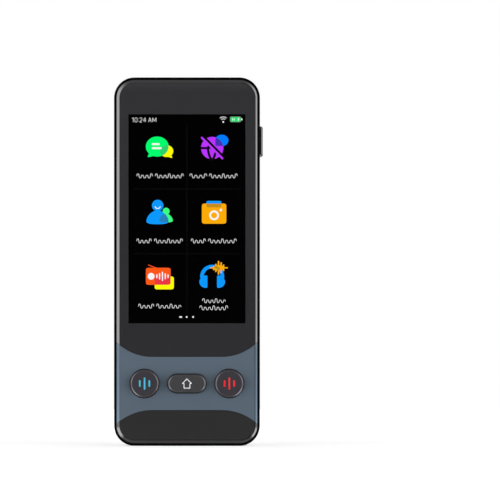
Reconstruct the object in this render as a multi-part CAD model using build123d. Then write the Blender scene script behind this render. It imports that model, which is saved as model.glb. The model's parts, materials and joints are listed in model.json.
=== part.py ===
from build123d import *
import math
import os

os.makedirs("parts", exist_ok=True)

# Handheld translator, standing upright. Millimetres, +Z up, +X right, the screen faces -Y.
# The origin is the middle of the foot that it stands on.

# ---------------------------------------------------------------- driving dimensions
# Body
body_width = 46.4
body_height = 117.2
body_depth = 12.0            # flat of the screen glass to flat of the rear cover
corner_radius = 6.5          # seen from the front
crown_radius = 13.0          # curve of the back's long sides
front_shell_depth = 4.5      # glass face to the parting line of the two shells

# Front shell
rim_width = 0.85             # black edge left visible around the front panels
rim_drop = 0.65              # how far that edge stays below the glass face
rim_round = 0.5
shell_wall = 2.1
plate_thickness = 1.0        # floor that the glass and the panels sit on
lip_height = 0.5             # tongue of the front shell inside the rear frame
lip_gap = 0.1

# Front panels
panel_thickness = 1.4
bevel_width = 0.95
bevel_depth = 0.475
seam = 0.08                  # joint between neighbouring front panels
adhesive_thickness = 0.2
adhesive_width = 1.2
band_top_z = 28.34           # button panel, at the middle of the front
band_base_z = 11.36
band_flat_half = 11.0        # half length of the straight part of its edges
band_top_sweep = 16.3        # radius that lifts the top edge towards the sides
band_base_sweep = 17.1

# Display
display_side_margin = 4.52   # body side to lit area
display_top_margin = 11.8    # body top to lit area
display_foot_margin = 10.71  # button panel's top edge to lit area
lcd_side_border = 1.3
lcd_foot_border = 1.65
lcd_head_border = 3.3
lcd_thickness = 1.4
backlight_thickness = 0.8
backlight_inset = 0.4
window_clearance = 0.15

# Chassis and boards
chassis_thickness = 0.6
chassis_base_z = 28.3
board_gap = 0.1
board_thickness = 0.85
board_inset = 2.6
main_board_height = 35.5
button_board_top_z = 27.5
screw_radius = 0.7
screw_head_radius = 1.35
screw_head_height = 0.6
screw_thread_gap = 0.05
screw_hole_gap = 0.15
screw_tip_cover = 0.5        # plastic left under a screw's tip
screw_recess_width = 0.35
screw_recess_depth = 0.3
boss_radius = 1.9
corner_screw_inset_x = 5.6
corner_screw_inset_z = 6.2
middle_screw_inset_x = 4.4
middle_screw_rise = 3.2      # above the button panel's top edge

# Talk buttons and home button
talk_button_diameter = 8.85
talk_button_inset = 9.72     # body side to the button's middle
home_button_width = 11.9
home_button_height = 5.75
button_gap = 0.32            # cap to panel, all round
button_proud = 0.5
button_bevel_width = 0.4
button_bevel_depth = 0.24
button_flange = 0.65
flange_thickness = 0.6
flange_play = 0.1
flange_clearance = 0.3
stem_radius = 1.6

# Push switches
switch_size = 4.5
switch_height = 1.0
switch_wall = 0.3
plunger_radius = 1.0
plunger_proud = 0.5
plunger_depth = 0.25         # part of the plunger inside the switch
plunger_gap = 0.08
button_travel = 0.3

# Power key
power_key_drop = 20.4        # body top to the key's middle
power_key_y = 0.9
power_key_length = 9.8
power_key_width = 2.0
power_key_proud = 0.95
power_key_gap = 0.12
power_key_bevel = 0.5
key_flange = 0.5
key_flange_thickness = 0.7
key_nub_width = 1.6
key_nub_length = 0.5
power_travel = 0.25
power_switch_length = 4.6
power_switch_depth = 2.6
power_switch_height = 3.2

# Rear frame and cover
frame_wall = 1.2
frame_rim = 1.55             # bright rim left visible around the rear cover
frame_bevel = 1.25
ledge_reach = 2.35           # body side to the inner edge of the cover's ledge
ledge_thickness = 0.8
cover_gap = 0.05
cover_thickness = 1.3
lug_width = 6.6
lug_height = 8.4
lug_thickness = 1.2
clip_length = 5.0
clip_thickness = 0.7
clip_hook = 0.65
clip_hook_height = 0.7
clip_count = 3               # on each side
clip_foot_inset = 22.0
clip_head_inset = 35.0

# Rear camera
camera_drop = 13.5           # body top to the lens
bezel_width = 16.2
bezel_height = 14.2
bezel_radius = 2.6
bezel_proud = 0.65
bezel_bevel = 0.45
bezel_rim = 1.2              # bezel's outer edge to the camera plate
bezel_flange = 0.8           # holds the bezel behind the rear cover
bezel_flange_thickness = 0.5
bezel_ledge = 0.7            # seat of the camera plate
camera_plate_thickness = 0.8
camera_plate_sink = 0.15
camera_plate_gap = 0.05
lens_hole_diameter = 4.6
camera_module_width = 8.5
camera_module_height = 4.0
camera_module_radius = 1.0
barrel_diameter = 6.4
barrel_mouth_diameter = 4.2
barrel_throat_diameter = 3.4
barrel_throat_depth = 0.7
barrel_steps = 3
lens_height = 1.0
lens_dome = 0.8              # round of the lens's front edge
camera_gasket_width = 1.2

# Speaker
speaker_z = 20.9
speaker_side_inset = 8.9     # body side to the speaker's side
speaker_height = 18.0
speaker_radius = 3.0
speaker_wall = 1.0
magnet_diameter = 11.0
magnet_height = 2.6
magnet_floor = 0.9
coil_diameter = 7.4
coil_thickness = 0.3
coil_gap = 0.15
coil_height = 2.0
cone_thickness = 0.25
cone_drop = 0.3
cone_middle_inset = 4.6      # cone's end to its raised middle
cone_middle_width = 9.0
cone_middle_rise = 0.15
mesh_thickness = 0.1
mesh_inset = 0.4
gasket_thickness = 0.55
gasket_width = 0.8
grille_pitch = 2.5
grille_hole_diameter = 1.35
grille_rows = (5, 7, 9, 11, 9, 7, 5)

# Microphone
microphone_inset = 8.9       # body side to the sound hole
microphone_drop = 11.3       # body top to the sound hole
microphone_width = 3.6
microphone_depth = 2.7
microphone_height = 1.0
sound_hole_diameter = 1.1
boot_wall = 0.95

# Charging socket
socket_width = 8.94
socket_height = 3.26
socket_depth = 7.3
socket_wall = 0.3
socket_sink = 0.3
socket_rise = 0.3            # above the button board's rear face
socket_clearance = 0.15
tongue_width = 6.65
tongue_thickness = 0.7
tongue_recess = 0.8
tongue_root = 1.6

# Battery and the flat cables
battery_thickness = 4.8
battery_tape_thickness = 0.12
battery_tape_inset = 3.0
battery_side_gap = 1.5
battery_end_gap = 1.5
battery_round = 0.6
battery_lead_rise = 1.6      # lead's exit from the cell, behind its connector
cable_width = 2.8
cable_side_gap = 0.6         # between the board cable and the battery
cable_thickness = 0.2
cable_bend = 0.35
connector_depth = 2.6
connector_height = 0.85
display_cable_inset = 12.6   # body side to the cable's middle
display_cable_width = 7.0
display_cable_reach = 6.0    # from the display's head down to its connector
battery_lead_shift = 3.4     # from the battery's middle

# Chips, shields and the antenna
processor_rise = 12.0        # above the main board's lower edge
processor_size = 12.0
radio_rise = 9.4
radio_size = 9.0
chip_height = 1.0
shield_margin = 1.5
shield_gap = 0.25            # between the shields' sides and the camera's
shield_height = 1.7
shield_wall = 0.25
antenna_length = 24.0
antenna_width = 3.0
antenna_thickness = 0.15
antenna_shift = 0.5          # strip's middle behind the lugs' rear face

# Small assembly gaps
stack_gap = 0.05
fit_gap = 0.05
spare = 1.0                  # how far a cutting block reaches past what it cuts

# ---------------------------------------------------------------- levels in depth (Y)
front_face_y = -body_depth / 2
back_face_y = body_depth / 2
rim_y = front_face_y + rim_drop
split_y = front_face_y + front_shell_depth
lip_y = split_y + lip_height
panel_back_y = front_face_y + panel_thickness
plate_back_y = panel_back_y + plate_thickness
glass_back_y = panel_back_y - adhesive_thickness
lcd_front_y = glass_back_y + stack_gap
lcd_back_y = lcd_front_y + lcd_thickness
backlight_front_y = lcd_back_y + stack_gap
backlight_back_y = backlight_front_y + backlight_thickness
chassis_front_y = backlight_back_y + stack_gap
chassis_back_y = chassis_front_y + chassis_thickness
board_front_y = chassis_back_y + board_gap
board_back_y = board_front_y + board_thickness
parts_front_y = board_back_y + stack_gap
lug_back_y = parts_front_y + lug_thickness
cover_back_y = back_face_y - cover_thickness
above_back_y = back_face_y + bezel_proud + spare

# ---------------------------------------------------------------- places in the front view
crown_flat_half = body_width / 2 - corner_radius
display_width = body_width - 2 * display_side_margin
display_base_z = band_top_z + display_foot_margin
display_cable_x = display_cable_inset - body_width / 2
lcd_width = display_width + 2 * lcd_side_border
lcd_base_z = display_base_z - lcd_foot_border
lcd_top_z = body_height - display_top_margin + lcd_head_border
lcd_height = lcd_top_z - lcd_base_z
lcd_middle_z = (lcd_top_z + lcd_base_z) / 2
button_z = (band_top_z + band_base_z) / 2
talk_button_x = body_width / 2 - talk_button_inset
power_key_z = body_height - power_key_drop
camera_z = body_height - camera_drop
microphone_x = body_width / 2 - microphone_inset
microphone_z = body_height - microphone_drop
speaker_width = body_width - 2 * speaker_side_inset
frame_inside_x = body_width / 2 - frame_wall
board_half = body_width / 2 - board_inset
board_top_z = body_height - board_inset
main_board_base_z = board_top_z - main_board_height
middle_screw_x = body_width / 2 - middle_screw_inset_x
middle_screw_z = band_top_z + middle_screw_rise
corner_screw_x = body_width / 2 - corner_screw_inset_x
foot_screw_z = corner_screw_inset_z
head_screw_z = body_height - corner_screw_inset_z
head_screw_places = [(-corner_screw_x, head_screw_z), (corner_screw_x, head_screw_z)]
foot_screw_places = [(-corner_screw_x, foot_screw_z), (corner_screw_x, foot_screw_z)]
middle_screw_places = [(-middle_screw_x, middle_screw_z), (middle_screw_x, middle_screw_z)]
battery_base_z = middle_screw_z + screw_head_radius + stack_gap
battery_top_z = main_board_base_z - battery_end_gap
battery_right_x = board_half - battery_side_gap
cable_x = -middle_screw_x + screw_head_radius + fit_gap + cable_width / 2
battery_left_x = cable_x + cable_width / 2 + cable_side_gap
battery_front_y = chassis_back_y + battery_tape_thickness + stack_gap
battery_lead_x = (battery_left_x + battery_right_x) / 2 + battery_lead_shift
shield_inner_x = camera_module_width / 2 + shield_gap + shield_margin
processor_x = -shield_inner_x - processor_size / 2
radio_x = shield_inner_x + radio_size / 2
processor_z = main_board_base_z + processor_rise
radio_z = main_board_base_z + radio_rise
camera_plate_width = bezel_width - 2 * bezel_rim
camera_plate_height = bezel_height - 2 * bezel_rim
camera_plate_back_y = back_face_y + bezel_proud - camera_plate_sink - camera_plate_thickness


# ---------------------------------------------------------------- helpers
def front_prism(shape, y_from, y_to):
    """Extrudes a front-view shape (x right, z up) from depth y_from to depth y_to."""
    placed = Plane.XZ.offset(-y_from) * shape
    return extrude(placed, amount=y_to - y_from, dir=(0, 1, 0))


def side_prism(shape, x_from, x_to):
    """Extrudes a side-view shape (y right, z up) from x_from to x_to."""
    placed = Plane.YZ.offset(x_from) * shape
    return extrude(placed, amount=x_to - x_from)


def rising_prism(shape, z_from, z_to):
    """Extrudes a plan-view shape (x right, y up) from z_from to z_to."""
    placed = Plane.XY.offset(z_from) * shape
    return extrude(placed, amount=z_to - z_from)


def span(low_a, high_a, low_b, high_b):
    """Rectangle between two corners, in the two directions of its view."""
    middle = ((low_a + high_a) / 2, (low_b + high_b) / 2)
    return Pos(*middle) * Rectangle(high_a - low_a, high_b - low_b)


def rounded_plate(width, height, radius):
    """Rectangle with round corners, whose radius stays under half of its short side."""
    limit = 0.49 * min(width, height)
    return RectangleRounded(width, height, min(radius, limit))


def outline(inset):
    """The body's outline seen from the front, moved inwards by inset."""
    width = body_width - 2 * inset
    height = body_height - 2 * inset
    radius = max(corner_radius - inset, fit_gap)
    return Pos(0, body_height / 2) * rounded_plate(width, height, radius)


def crown_y(x, inset):
    """Depth of the back's surface at x, moved inwards by inset."""
    side = max(abs(x) - crown_flat_half, 0)
    return back_face_y - crown_radius + math.sqrt((crown_radius - inset) ** 2 - side ** 2)


def crown_block(inset, y_from):
    """Block behind y_from whose back follows the crowned back, moved inwards by inset."""
    reach = body_width / 2 + spare
    middle = (reach + crown_flat_half) / 2
    start = (crown_flat_half, crown_y(crown_flat_half, inset))
    half_way = (middle, crown_y(middle, inset))
    end = (reach, crown_y(reach, inset))
    far_start = (-start[0], start[1])
    far_half_way = (-half_way[0], half_way[1])
    far_end = (-end[0], end[1])
    edges = [
        Line((-reach, y_from), (reach, y_from)),
        Line((reach, y_from), end),
        ThreePointArc(end, half_way, start),
        Line(start, far_start),
        ThreePointArc(far_start, far_half_way, far_end),
        Line(far_end, (-reach, y_from)),
    ]
    return rising_prism(make_face(edges), -spare, body_height + spare)


def disc(place, radius):
    """Circle at a place of the front view."""
    return Pos(*place) * Circle(radius)


def cable(points, x_middle, width):
    """Flat cable that follows (y, z) points with small round bends."""
    route = FilletPolyline(*points, radius=cable_bend)
    strip = trace(route, line_width=cable_thickness)
    return side_prism(strip, x_middle - width / 2, x_middle + width / 2)


# ---------------------------------------------------------------- front panels
def band_edge(flat_z, sweep, side):
    """Edge of the button panel from left to right: flat, with ends that sweep up or down."""
    reach = body_width / 2
    turn = math.asin((reach - band_flat_half) / sweep)

    def point(angle, mirror):
        x = band_flat_half + sweep * math.sin(angle)
        z = flat_z + side * sweep * (1 - math.cos(angle))
        return (mirror * x, z)

    left_arc = ThreePointArc(point(turn, -1), point(turn / 2, -1), point(0, -1))
    flat = Line(point(0, -1), point(0, 1))
    right_arc = ThreePointArc(point(0, 1), point(turn / 2, 1), point(turn, 1))
    return [left_arc, flat, right_arc], point(turn, -1), point(turn, 1)


def region_beyond(flat_z, sweep, side):
    """Everything above (side 1) or below (side -1) one edge of the button panel."""
    edges, left_end, right_end = band_edge(flat_z, sweep, side)
    far_z = body_height + spare if side > 0 else -spare
    far_right = (right_end[0], far_z)
    far_left = (left_end[0], far_z)
    box = [Line(right_end, far_right), Line(far_right, far_left), Line(far_left, left_end)]
    return front_prism(make_face(edges + box), front_face_y - spare, plate_back_y)


def front_panels():
    """Glass, button panel and chin, cut from one bevelled plate."""
    plate = front_prism(outline(rim_width), front_face_y, panel_back_y)
    face = plate.faces().sort_by(Axis.Y)[0]
    plate = chamfer(face.edges(), length=bevel_width, length2=bevel_depth, reference=face)
    glass = plate & region_beyond(band_top_z + seam / 2, band_top_sweep, 1)
    glass &= front_prism(outline(0), front_face_y, glass_back_y)
    chin = plate & region_beyond(band_base_z - seam / 2, band_base_sweep, -1)
    panel = plate - region_beyond(band_top_z - seam / 2, band_top_sweep, 1)
    panel -= region_beyond(band_base_z + seam / 2, band_base_sweep, -1)
    for place, cap in button_caps():
        panel -= front_prism(Pos(*place) * cap(button_gap), front_face_y, panel_back_y)
    return glass, panel, chin


def glass_adhesive():
    """Adhesive frame between the glass and the front shell's floor."""
    margin = rim_width + fit_gap
    tape = front_prism(outline(margin) - outline(margin + adhesive_width),
                       glass_back_y, panel_back_y)
    return tape & region_beyond(band_top_z + seam, band_top_sweep, 1)


# ---------------------------------------------------------------- buttons
def talk_cap(grow):
    """Round cap outline."""
    return Circle(talk_button_diameter / 2 + grow)


def home_cap(grow):
    """Pill-shaped cap outline."""
    return SlotOverall(home_button_width + 2 * grow, home_button_height + 2 * grow)


def button_caps():
    """Place and outline of each front button, from left to right."""
    return [
        ((-talk_button_x, button_z), talk_cap),
        ((0, button_z), home_cap),
        ((talk_button_x, button_z), talk_cap),
    ]


flange_front_y = panel_back_y + flange_play
flange_back_y = flange_front_y + flange_thickness
switch_front_y = board_front_y - switch_height
plunger_tip_y = switch_front_y - plunger_proud


def front_button(place, cap):
    """Cap with a bevelled face, a flange behind the panel and a stem to the switch."""
    body = front_prism(Pos(*place) * cap(0), front_face_y - button_proud, flange_front_y)
    face = body.faces().sort_by(Axis.Y)[0]
    body = chamfer(face.edges(), length=button_bevel_width, length2=button_bevel_depth,
                   reference=face)
    body += front_prism(Pos(*place) * cap(button_flange), flange_front_y, flange_back_y)
    body += front_prism(disc(place, stem_radius), flange_back_y, plunger_tip_y - stack_gap)
    return body


def front_plunger(place):
    """Plunger of one front switch."""
    return front_prism(disc(place, plunger_radius), plunger_tip_y,
                       switch_front_y + plunger_depth)


def front_switch(place):
    """Switch body, open at the front, with room for the plunger's travel."""
    square = Pos(*place) * Rectangle(switch_size, switch_size)
    body = front_prism(square, switch_front_y, board_front_y)
    well_end_y = min(switch_front_y + plunger_depth + button_travel + fit_gap,
                     board_front_y - switch_wall / 2)
    well = disc(place, plunger_radius + plunger_gap)
    return body - front_prism(well, switch_front_y, well_end_y)


# ---------------------------------------------------------------- front shell
def boss_sets():
    """Places of the screw bosses and the depth that each set reaches."""
    return [
        (head_screw_places, chassis_front_y),
        (foot_screw_places, board_front_y),
        (middle_screw_places, chassis_front_y),
    ]


screw_tip_y = panel_back_y + screw_tip_cover


def front_housing():
    """Black front shell: rim, floor with its openings, side walls, tongue and bosses."""
    shell = front_prism(outline(0), rim_y, split_y)
    shell = fillet(shell.faces().sort_by(Axis.Y)[0].edges(), rim_round)
    shell -= front_prism(outline(rim_width - fit_gap), rim_y, panel_back_y)
    shell -= front_prism(outline(shell_wall), plate_back_y, split_y)
    tongue = outline(frame_wall + lip_gap) - outline(shell_wall)
    shell += front_prism(tongue, plate_back_y, lip_y)
    window = Pos(0, lcd_middle_z) * Rectangle(lcd_width + 2 * window_clearance,
                                              lcd_height + 2 * window_clearance)
    shell -= front_prism(window, panel_back_y, plate_back_y)
    shell -= front_prism(display_cable_slot(lcd_middle_z), panel_back_y, plate_back_y)
    for place, cap in button_caps():
        opening = Pos(*place) * cap(button_flange + flange_clearance)
        shell -= front_prism(opening, panel_back_y, plate_back_y)
    for places, boss_end_y in boss_sets():
        for place in places:
            shell += front_prism(disc(place, boss_radius), plate_back_y, boss_end_y)
            bore = disc(place, screw_radius + screw_thread_gap)
            shell -= front_prism(bore, screw_tip_y - screw_thread_gap, boss_end_y)
    return shell


def display_cable_slot(base_z):
    """Slot that lets the display's cable pass, from base_z to just above the display."""
    half = display_cable_width / 2 + 2 * window_clearance
    top_z = lcd_top_z + stack_gap + 2 * cable_bend + 2 * cable_thickness + window_clearance
    return span(display_cable_x - half, display_cable_x + half, base_z, top_z)


def screws(places, seat_y):
    """Identical cross-head screws whose heads sit behind seat_y."""
    head_y = seat_y + stack_gap
    top_y = head_y + screw_head_height
    group = []
    for place in places:
        shank = front_prism(disc(place, screw_radius), screw_tip_y, head_y)
        head = front_prism(disc(place, screw_head_radius), head_y, top_y)
        recess = Pos(*place) * (Rectangle(screw_radius * 2, screw_recess_width)
                                + Rectangle(screw_recess_width, screw_radius * 2))
        cross = front_prism(recess, top_y - screw_recess_depth, top_y)
        group.append(shank + head - cross)
    return Compound(group)


# ---------------------------------------------------------------- display and boards
def display():
    """The display panel and its backlight."""
    lcd_plate = Pos(0, lcd_middle_z) * Rectangle(lcd_width, lcd_height)
    lcd = front_prism(lcd_plate, lcd_front_y, lcd_back_y)
    light_plate = Pos(0, lcd_middle_z) * Rectangle(lcd_width - 2 * backlight_inset,
                                                   lcd_height - 2 * backlight_inset)
    return lcd, front_prism(light_plate, backlight_front_y, backlight_back_y)


display_connector_z = lcd_top_z - display_cable_reach
connector_top_y = parts_front_y + connector_height
cable_middle_y = connector_top_y + stack_gap + cable_thickness / 2


def display_cable():
    """Cable from the display's head, back through the chassis and board, and down."""
    start_y = lcd_back_y - cable_thickness
    turn_z = lcd_top_z + stack_gap + cable_bend + cable_thickness
    points = [
        (start_y, lcd_top_z + stack_gap),
        (start_y, turn_z),
        (cable_middle_y, turn_z),
        (cable_middle_y, display_connector_z),
    ]
    return cable(points, display_cable_x, display_cable_width)


def connector(x_middle, z_middle, width):
    """Connector on the rear face of a board."""
    plate = Pos(x_middle, z_middle) * Rectangle(width, connector_depth)
    return front_prism(plate, parts_front_y, connector_top_y)


def chassis_plate():
    """Pressed plate that carries the display, the battery and the main board."""
    area = outline(board_inset) & span(-body_width, body_width, chassis_base_z, body_height)
    plate = front_prism(area, chassis_front_y, chassis_back_y)
    plate -= front_prism(display_cable_slot(lcd_top_z - stack_gap), chassis_front_y,
                         chassis_back_y)
    for place in head_screw_places + middle_screw_places:
        hole = disc(place, screw_radius + screw_hole_gap)
        plate -= front_prism(hole, chassis_front_y, chassis_back_y)
    return plate


def main_board():
    """Main circuit board behind the upper half of the display."""
    area = outline(board_inset) & span(-body_width, body_width, main_board_base_z,
                                       body_height)
    board = front_prism(area, board_front_y, board_back_y)
    board -= front_prism(display_cable_slot(lcd_top_z - stack_gap), board_front_y,
                         board_back_y)
    for place in head_screw_places:
        hole = disc(place, screw_radius + screw_hole_gap)
        board -= front_prism(hole, board_front_y, board_back_y)
    return board


def button_board():
    """Lower circuit board, with the front switches, the speaker and the socket."""
    area = outline(board_inset) & span(-body_width, body_width, 0, button_board_top_z)
    board = front_prism(area, board_front_y, board_back_y)
    for place in foot_screw_places:
        hole = disc(place, screw_radius + screw_hole_gap)
        board -= front_prism(hole, board_front_y, board_back_y)
    return board


def chip(x_middle, z_middle, size):
    """Flat square chip on the main board."""
    plate = Pos(x_middle, z_middle) * Rectangle(size, size)
    return front_prism(plate, parts_front_y, parts_front_y + chip_height)


def shield(x_middle, z_middle, size):
    """Pressed can over a chip, open towards the board."""
    outer = size + 2 * shield_margin
    inner = outer - 2 * shield_wall
    plate = Pos(x_middle, z_middle) * rounded_plate(outer, outer, shield_margin / 2)
    hollow = Pos(x_middle, z_middle) * Rectangle(inner, inner)
    can = front_prism(plate, parts_front_y, parts_front_y + shield_height)
    return can - front_prism(hollow, parts_front_y,
                             parts_front_y + shield_height - shield_wall)


def battery():
    """Pouch cell."""
    plate = span(battery_left_x, battery_right_x, battery_base_z, battery_top_z)
    cell = front_prism(plate, battery_front_y, battery_front_y + battery_thickness)
    return fillet(cell.edges().filter_by(Axis.Z), battery_round)


def battery_tape():
    """Double-sided tape under the battery."""
    plate = span(battery_left_x + battery_tape_inset, battery_right_x - battery_tape_inset,
                 battery_base_z + battery_tape_inset, battery_top_z - battery_tape_inset)
    front_y = chassis_back_y + stack_gap / 2
    return front_prism(plate, front_y, front_y + battery_tape_thickness)


battery_connector_z = main_board_base_z + connector_depth / 2 + stack_gap


def battery_lead():
    """Flat lead from the battery's head to its connector on the main board."""
    exit_y = cable_middle_y + battery_lead_rise
    points = [
        (exit_y, battery_top_z + stack_gap),
        (exit_y, battery_top_z + battery_end_gap / 2),
        (cable_middle_y, battery_top_z + battery_end_gap / 2),
        (cable_middle_y, battery_connector_z + connector_depth / 2),
    ]
    return cable(points, battery_lead_x, cable_width)


board_cable_foot_z = button_board_top_z - connector_depth / 2 - stack_gap
board_cable_head_z = main_board_base_z + connector_depth / 2 + stack_gap


def board_cable():
    """Cable beside the battery that joins the two boards."""
    lane_y = chassis_back_y + stack_gap + cable_thickness / 2
    points = [
        (cable_middle_y, board_cable_foot_z - connector_depth / 2),
        (cable_middle_y, button_board_top_z + 2 * cable_bend),
        (lane_y, button_board_top_z + 2 * cable_bend + cable_thickness),
        (lane_y, main_board_base_z - 2 * cable_bend - cable_thickness),
        (cable_middle_y, main_board_base_z - 2 * cable_bend),
        (cable_middle_y, board_cable_head_z + connector_depth / 2),
    ]
    return cable(points, cable_x, cable_width)


def cable_connectors():
    """The connectors that the flat cables plug into."""
    return Compound([
        connector(cable_x, board_cable_foot_z, cable_width),
        connector(cable_x, board_cable_head_z, cable_width),
        connector(battery_lead_x, battery_connector_z, cable_width),
        connector(display_cable_x, display_connector_z + connector_depth / 2,
                  display_cable_width),
    ])


# ---------------------------------------------------------------- rear frame and cover
def rear_frame():
    """Bright ring around the back, with the cover's ledge, the screw lugs and openings."""
    block = crown_block(0, split_y) & front_prism(outline(0), split_y, above_back_y)
    side_edge_y = crown_y(body_width / 2, 0) - fit_gap
    crown_seam = body_height - fit_gap
    back_edges = [edge for edge in block.edges()
                  if edge.bounding_box().min.Y > side_edge_y and edge.length < crown_seam]
    block = chamfer(back_edges, frame_bevel)
    ledge_top = cover_thickness + cover_gap
    block -= front_prism(outline(frame_rim), split_y, above_back_y) \
        - crown_block(ledge_top, split_y)
    block -= front_prism(outline(ledge_reach), split_y, above_back_y)
    block -= front_prism(outline(frame_wall), split_y, above_back_y) \
        & crown_block(ledge_top + ledge_thickness, split_y)
    for side in (-1, 1):
        for end in (0, 1):
            block += frame_lug(side, end)
    for place in head_screw_places + foot_screw_places:
        hole = disc(place, screw_radius + screw_hole_gap)
        block -= front_prism(hole, parts_front_y, lug_back_y)
    block -= power_key_opening()
    block -= socket_opening()
    return block


def frame_lug(side, end):
    """Corner lug of the rear frame; side -1 or 1 in x, end 0 at the foot, 1 at the head."""
    x_out = side * body_width / 2
    x_in = side * (frame_inside_x - lug_width)
    z_out = end * body_height
    z_in = frame_wall + lug_height if end == 0 else body_height - frame_wall - lug_height
    corner = span(min(x_in, x_out), max(x_in, x_out), min(z_in, z_out), max(z_in, z_out))
    return front_prism(corner & outline(frame_wall / 2), parts_front_y, lug_back_y)


def power_key_outline(grow):
    """The power key's outline seen from the side, moved outwards by grow."""
    slot = SlotOverall(power_key_length + 2 * grow, power_key_width + 2 * grow, rotation=90)
    return Pos(power_key_y, power_key_z) * slot


def power_key_opening():
    """Slot for the power key in the frame's right wall, with room for its flange."""
    slot = side_prism(power_key_outline(power_key_gap), frame_inside_x,
                      body_width / 2 + spare)
    room = power_key_outline(key_flange + power_key_gap)
    return slot + side_prism(room, body_width / 2 - ledge_reach - spare, frame_inside_x)


socket_y = board_back_y + socket_rise + socket_height / 2


def socket_opening():
    """Opening for the charging socket in the frame's foot."""
    slot = SlotOverall(socket_width + 2 * socket_clearance,
                       socket_height + 2 * socket_clearance)
    return rising_prism(Pos(0, socket_y) * slot, -spare, frame_wall + spare)


def cover_clip(side, z_middle):
    """Snap arm that hooks under the frame's ledge."""
    arm_x = body_width / 2 - ledge_reach - 2 * fit_gap
    hook_x = arm_x + clip_hook
    hook_top_y = crown_y(hook_x, cover_thickness + cover_gap + ledge_thickness) - fit_gap
    arm_top_y = crown_y(arm_x, cover_thickness / 2)
    arm = span(arm_x - clip_thickness, arm_x, hook_top_y - clip_hook_height, arm_top_y)
    hook = span(arm_x - clip_thickness, hook_x, hook_top_y - clip_hook_height, hook_top_y)
    profile = arm + hook
    if side < 0:
        profile = mirror(profile, about=Plane.YZ)
    return rising_prism(profile, z_middle - clip_length / 2, z_middle + clip_length / 2)


def grille_places():
    """Places of the speaker holes: rows that grow and shrink by two holes."""
    places = []
    for row, count in enumerate(grille_rows):
        z = speaker_z + (row - (len(grille_rows) - 1) / 2) * grille_pitch
        for column in range(count):
            places.append(((column - (count - 1) / 2) * grille_pitch, z))
    return places


def rear_cover():
    """Crowned cover with its clips and the camera, speaker and microphone openings."""
    shell = crown_block(0, split_y) - crown_block(cover_thickness, split_y)
    cover = shell & front_prism(outline(frame_rim + cover_gap), split_y, above_back_y)
    clip_pitch = (body_height - clip_foot_inset - clip_head_inset) / (clip_count - 1)
    for clip in range(clip_count):
        for side in (-1, 1):
            cover += cover_clip(side, clip_foot_inset + clip * clip_pitch)
    cover -= front_prism(bezel_outline(fit_gap), split_y, above_back_y)
    holes = [disc(place, grille_hole_diameter / 2) for place in grille_places()]
    holes.append(disc((microphone_x, microphone_z), sound_hole_diameter / 2))
    drills = [front_prism(hole, cover_back_y - spare, back_face_y + spare) for hole in holes]
    return cover - drills


# ---------------------------------------------------------------- power key
key_back_x = frame_inside_x - 2 * fit_gap
nub_tip_x = key_back_x - key_flange_thickness - key_nub_length
power_place = Pos(power_key_y, power_key_z)


def power_key():
    """Side key: bevelled outer face, flange inside the wall and a nub for the switch."""
    outer_x = body_width / 2 + power_key_proud
    key = side_prism(power_key_outline(0), key_back_x, outer_x)
    face = key.faces().sort_by(Axis.X)[-1]
    key = chamfer(face.edges(), power_key_bevel)
    flange_x = key_back_x - key_flange_thickness
    key += side_prism(power_key_outline(key_flange), flange_x, key_back_x)
    key += side_prism(power_place * Rectangle(key_nub_width, key_nub_width),
                      nub_tip_x, flange_x)
    return key


plunger_x = nub_tip_x - stack_gap
power_switch_x = plunger_x - plunger_proud


def power_plunger():
    """Plunger of the side switch."""
    return side_prism(power_place * Circle(plunger_radius),
                      power_switch_x - plunger_depth, plunger_x)


def power_switch():
    """Side switch on the edge of the main board."""
    plate = Pos(0, power_key_z) * span(parts_front_y, parts_front_y + power_switch_height,
                                       -power_switch_length / 2, power_switch_length / 2)
    body = side_prism(plate, power_switch_x - power_switch_depth, power_switch_x)
    well = power_place * Circle(plunger_radius + plunger_gap)
    well_depth = plunger_depth + power_travel + fit_gap
    return body - side_prism(well, power_switch_x - well_depth, power_switch_x)


# ---------------------------------------------------------------- rear camera
def camera_outline(grow):
    """Outline of the camera plate, moved outwards by grow."""
    radius = bezel_radius - bezel_rim + grow
    return Pos(0, camera_z) * rounded_plate(camera_plate_width + 2 * grow,
                                            camera_plate_height + 2 * grow,
                                            max(radius, fit_gap))


def bezel_outline(grow):
    """Outline of the camera bezel, moved outwards by grow."""
    return Pos(0, camera_z) * rounded_plate(bezel_width + 2 * grow, bezel_height + 2 * grow,
                                            bezel_radius + grow)


def camera_bezel():
    """Rim that passes through the rear cover, with a flange behind it and a bevelled edge."""
    top_y = back_face_y + bezel_proud
    flange_back_y = cover_back_y - stack_gap
    flange_front_y = flange_back_y - bezel_flange_thickness
    rim = front_prism(bezel_outline(0), flange_front_y, top_y)
    face = rim.faces().sort_by(Axis.Y)[-1]
    rim = chamfer(face.edges(), bezel_bevel)
    rim += front_prism(bezel_outline(bezel_flange), flange_front_y, flange_back_y)
    seat_y = camera_plate_back_y - stack_gap
    rim -= front_prism(camera_outline(camera_plate_gap), seat_y, top_y)
    return rim - front_prism(camera_outline(-bezel_ledge), flange_front_y, seat_y)


def camera_plate():
    """Black plate inside the bezel, with the lens hole."""
    plate = front_prism(camera_outline(0), camera_plate_back_y,
                        camera_plate_back_y + camera_plate_thickness)
    hole = disc((0, camera_z), lens_hole_diameter / 2)
    return plate - front_prism(hole, camera_plate_back_y,
                               camera_plate_back_y + camera_plate_thickness)


module_back_y = parts_front_y + camera_module_height
barrel_front_y = module_back_y + stack_gap
barrel_back_y = camera_plate_back_y - stack_gap


def camera_module():
    """Sensor housing on the main board."""
    plate = Pos(0, camera_z) * rounded_plate(camera_module_width, camera_module_width,
                                             camera_module_radius)
    return front_prism(plate, parts_front_y, module_back_y)


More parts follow.
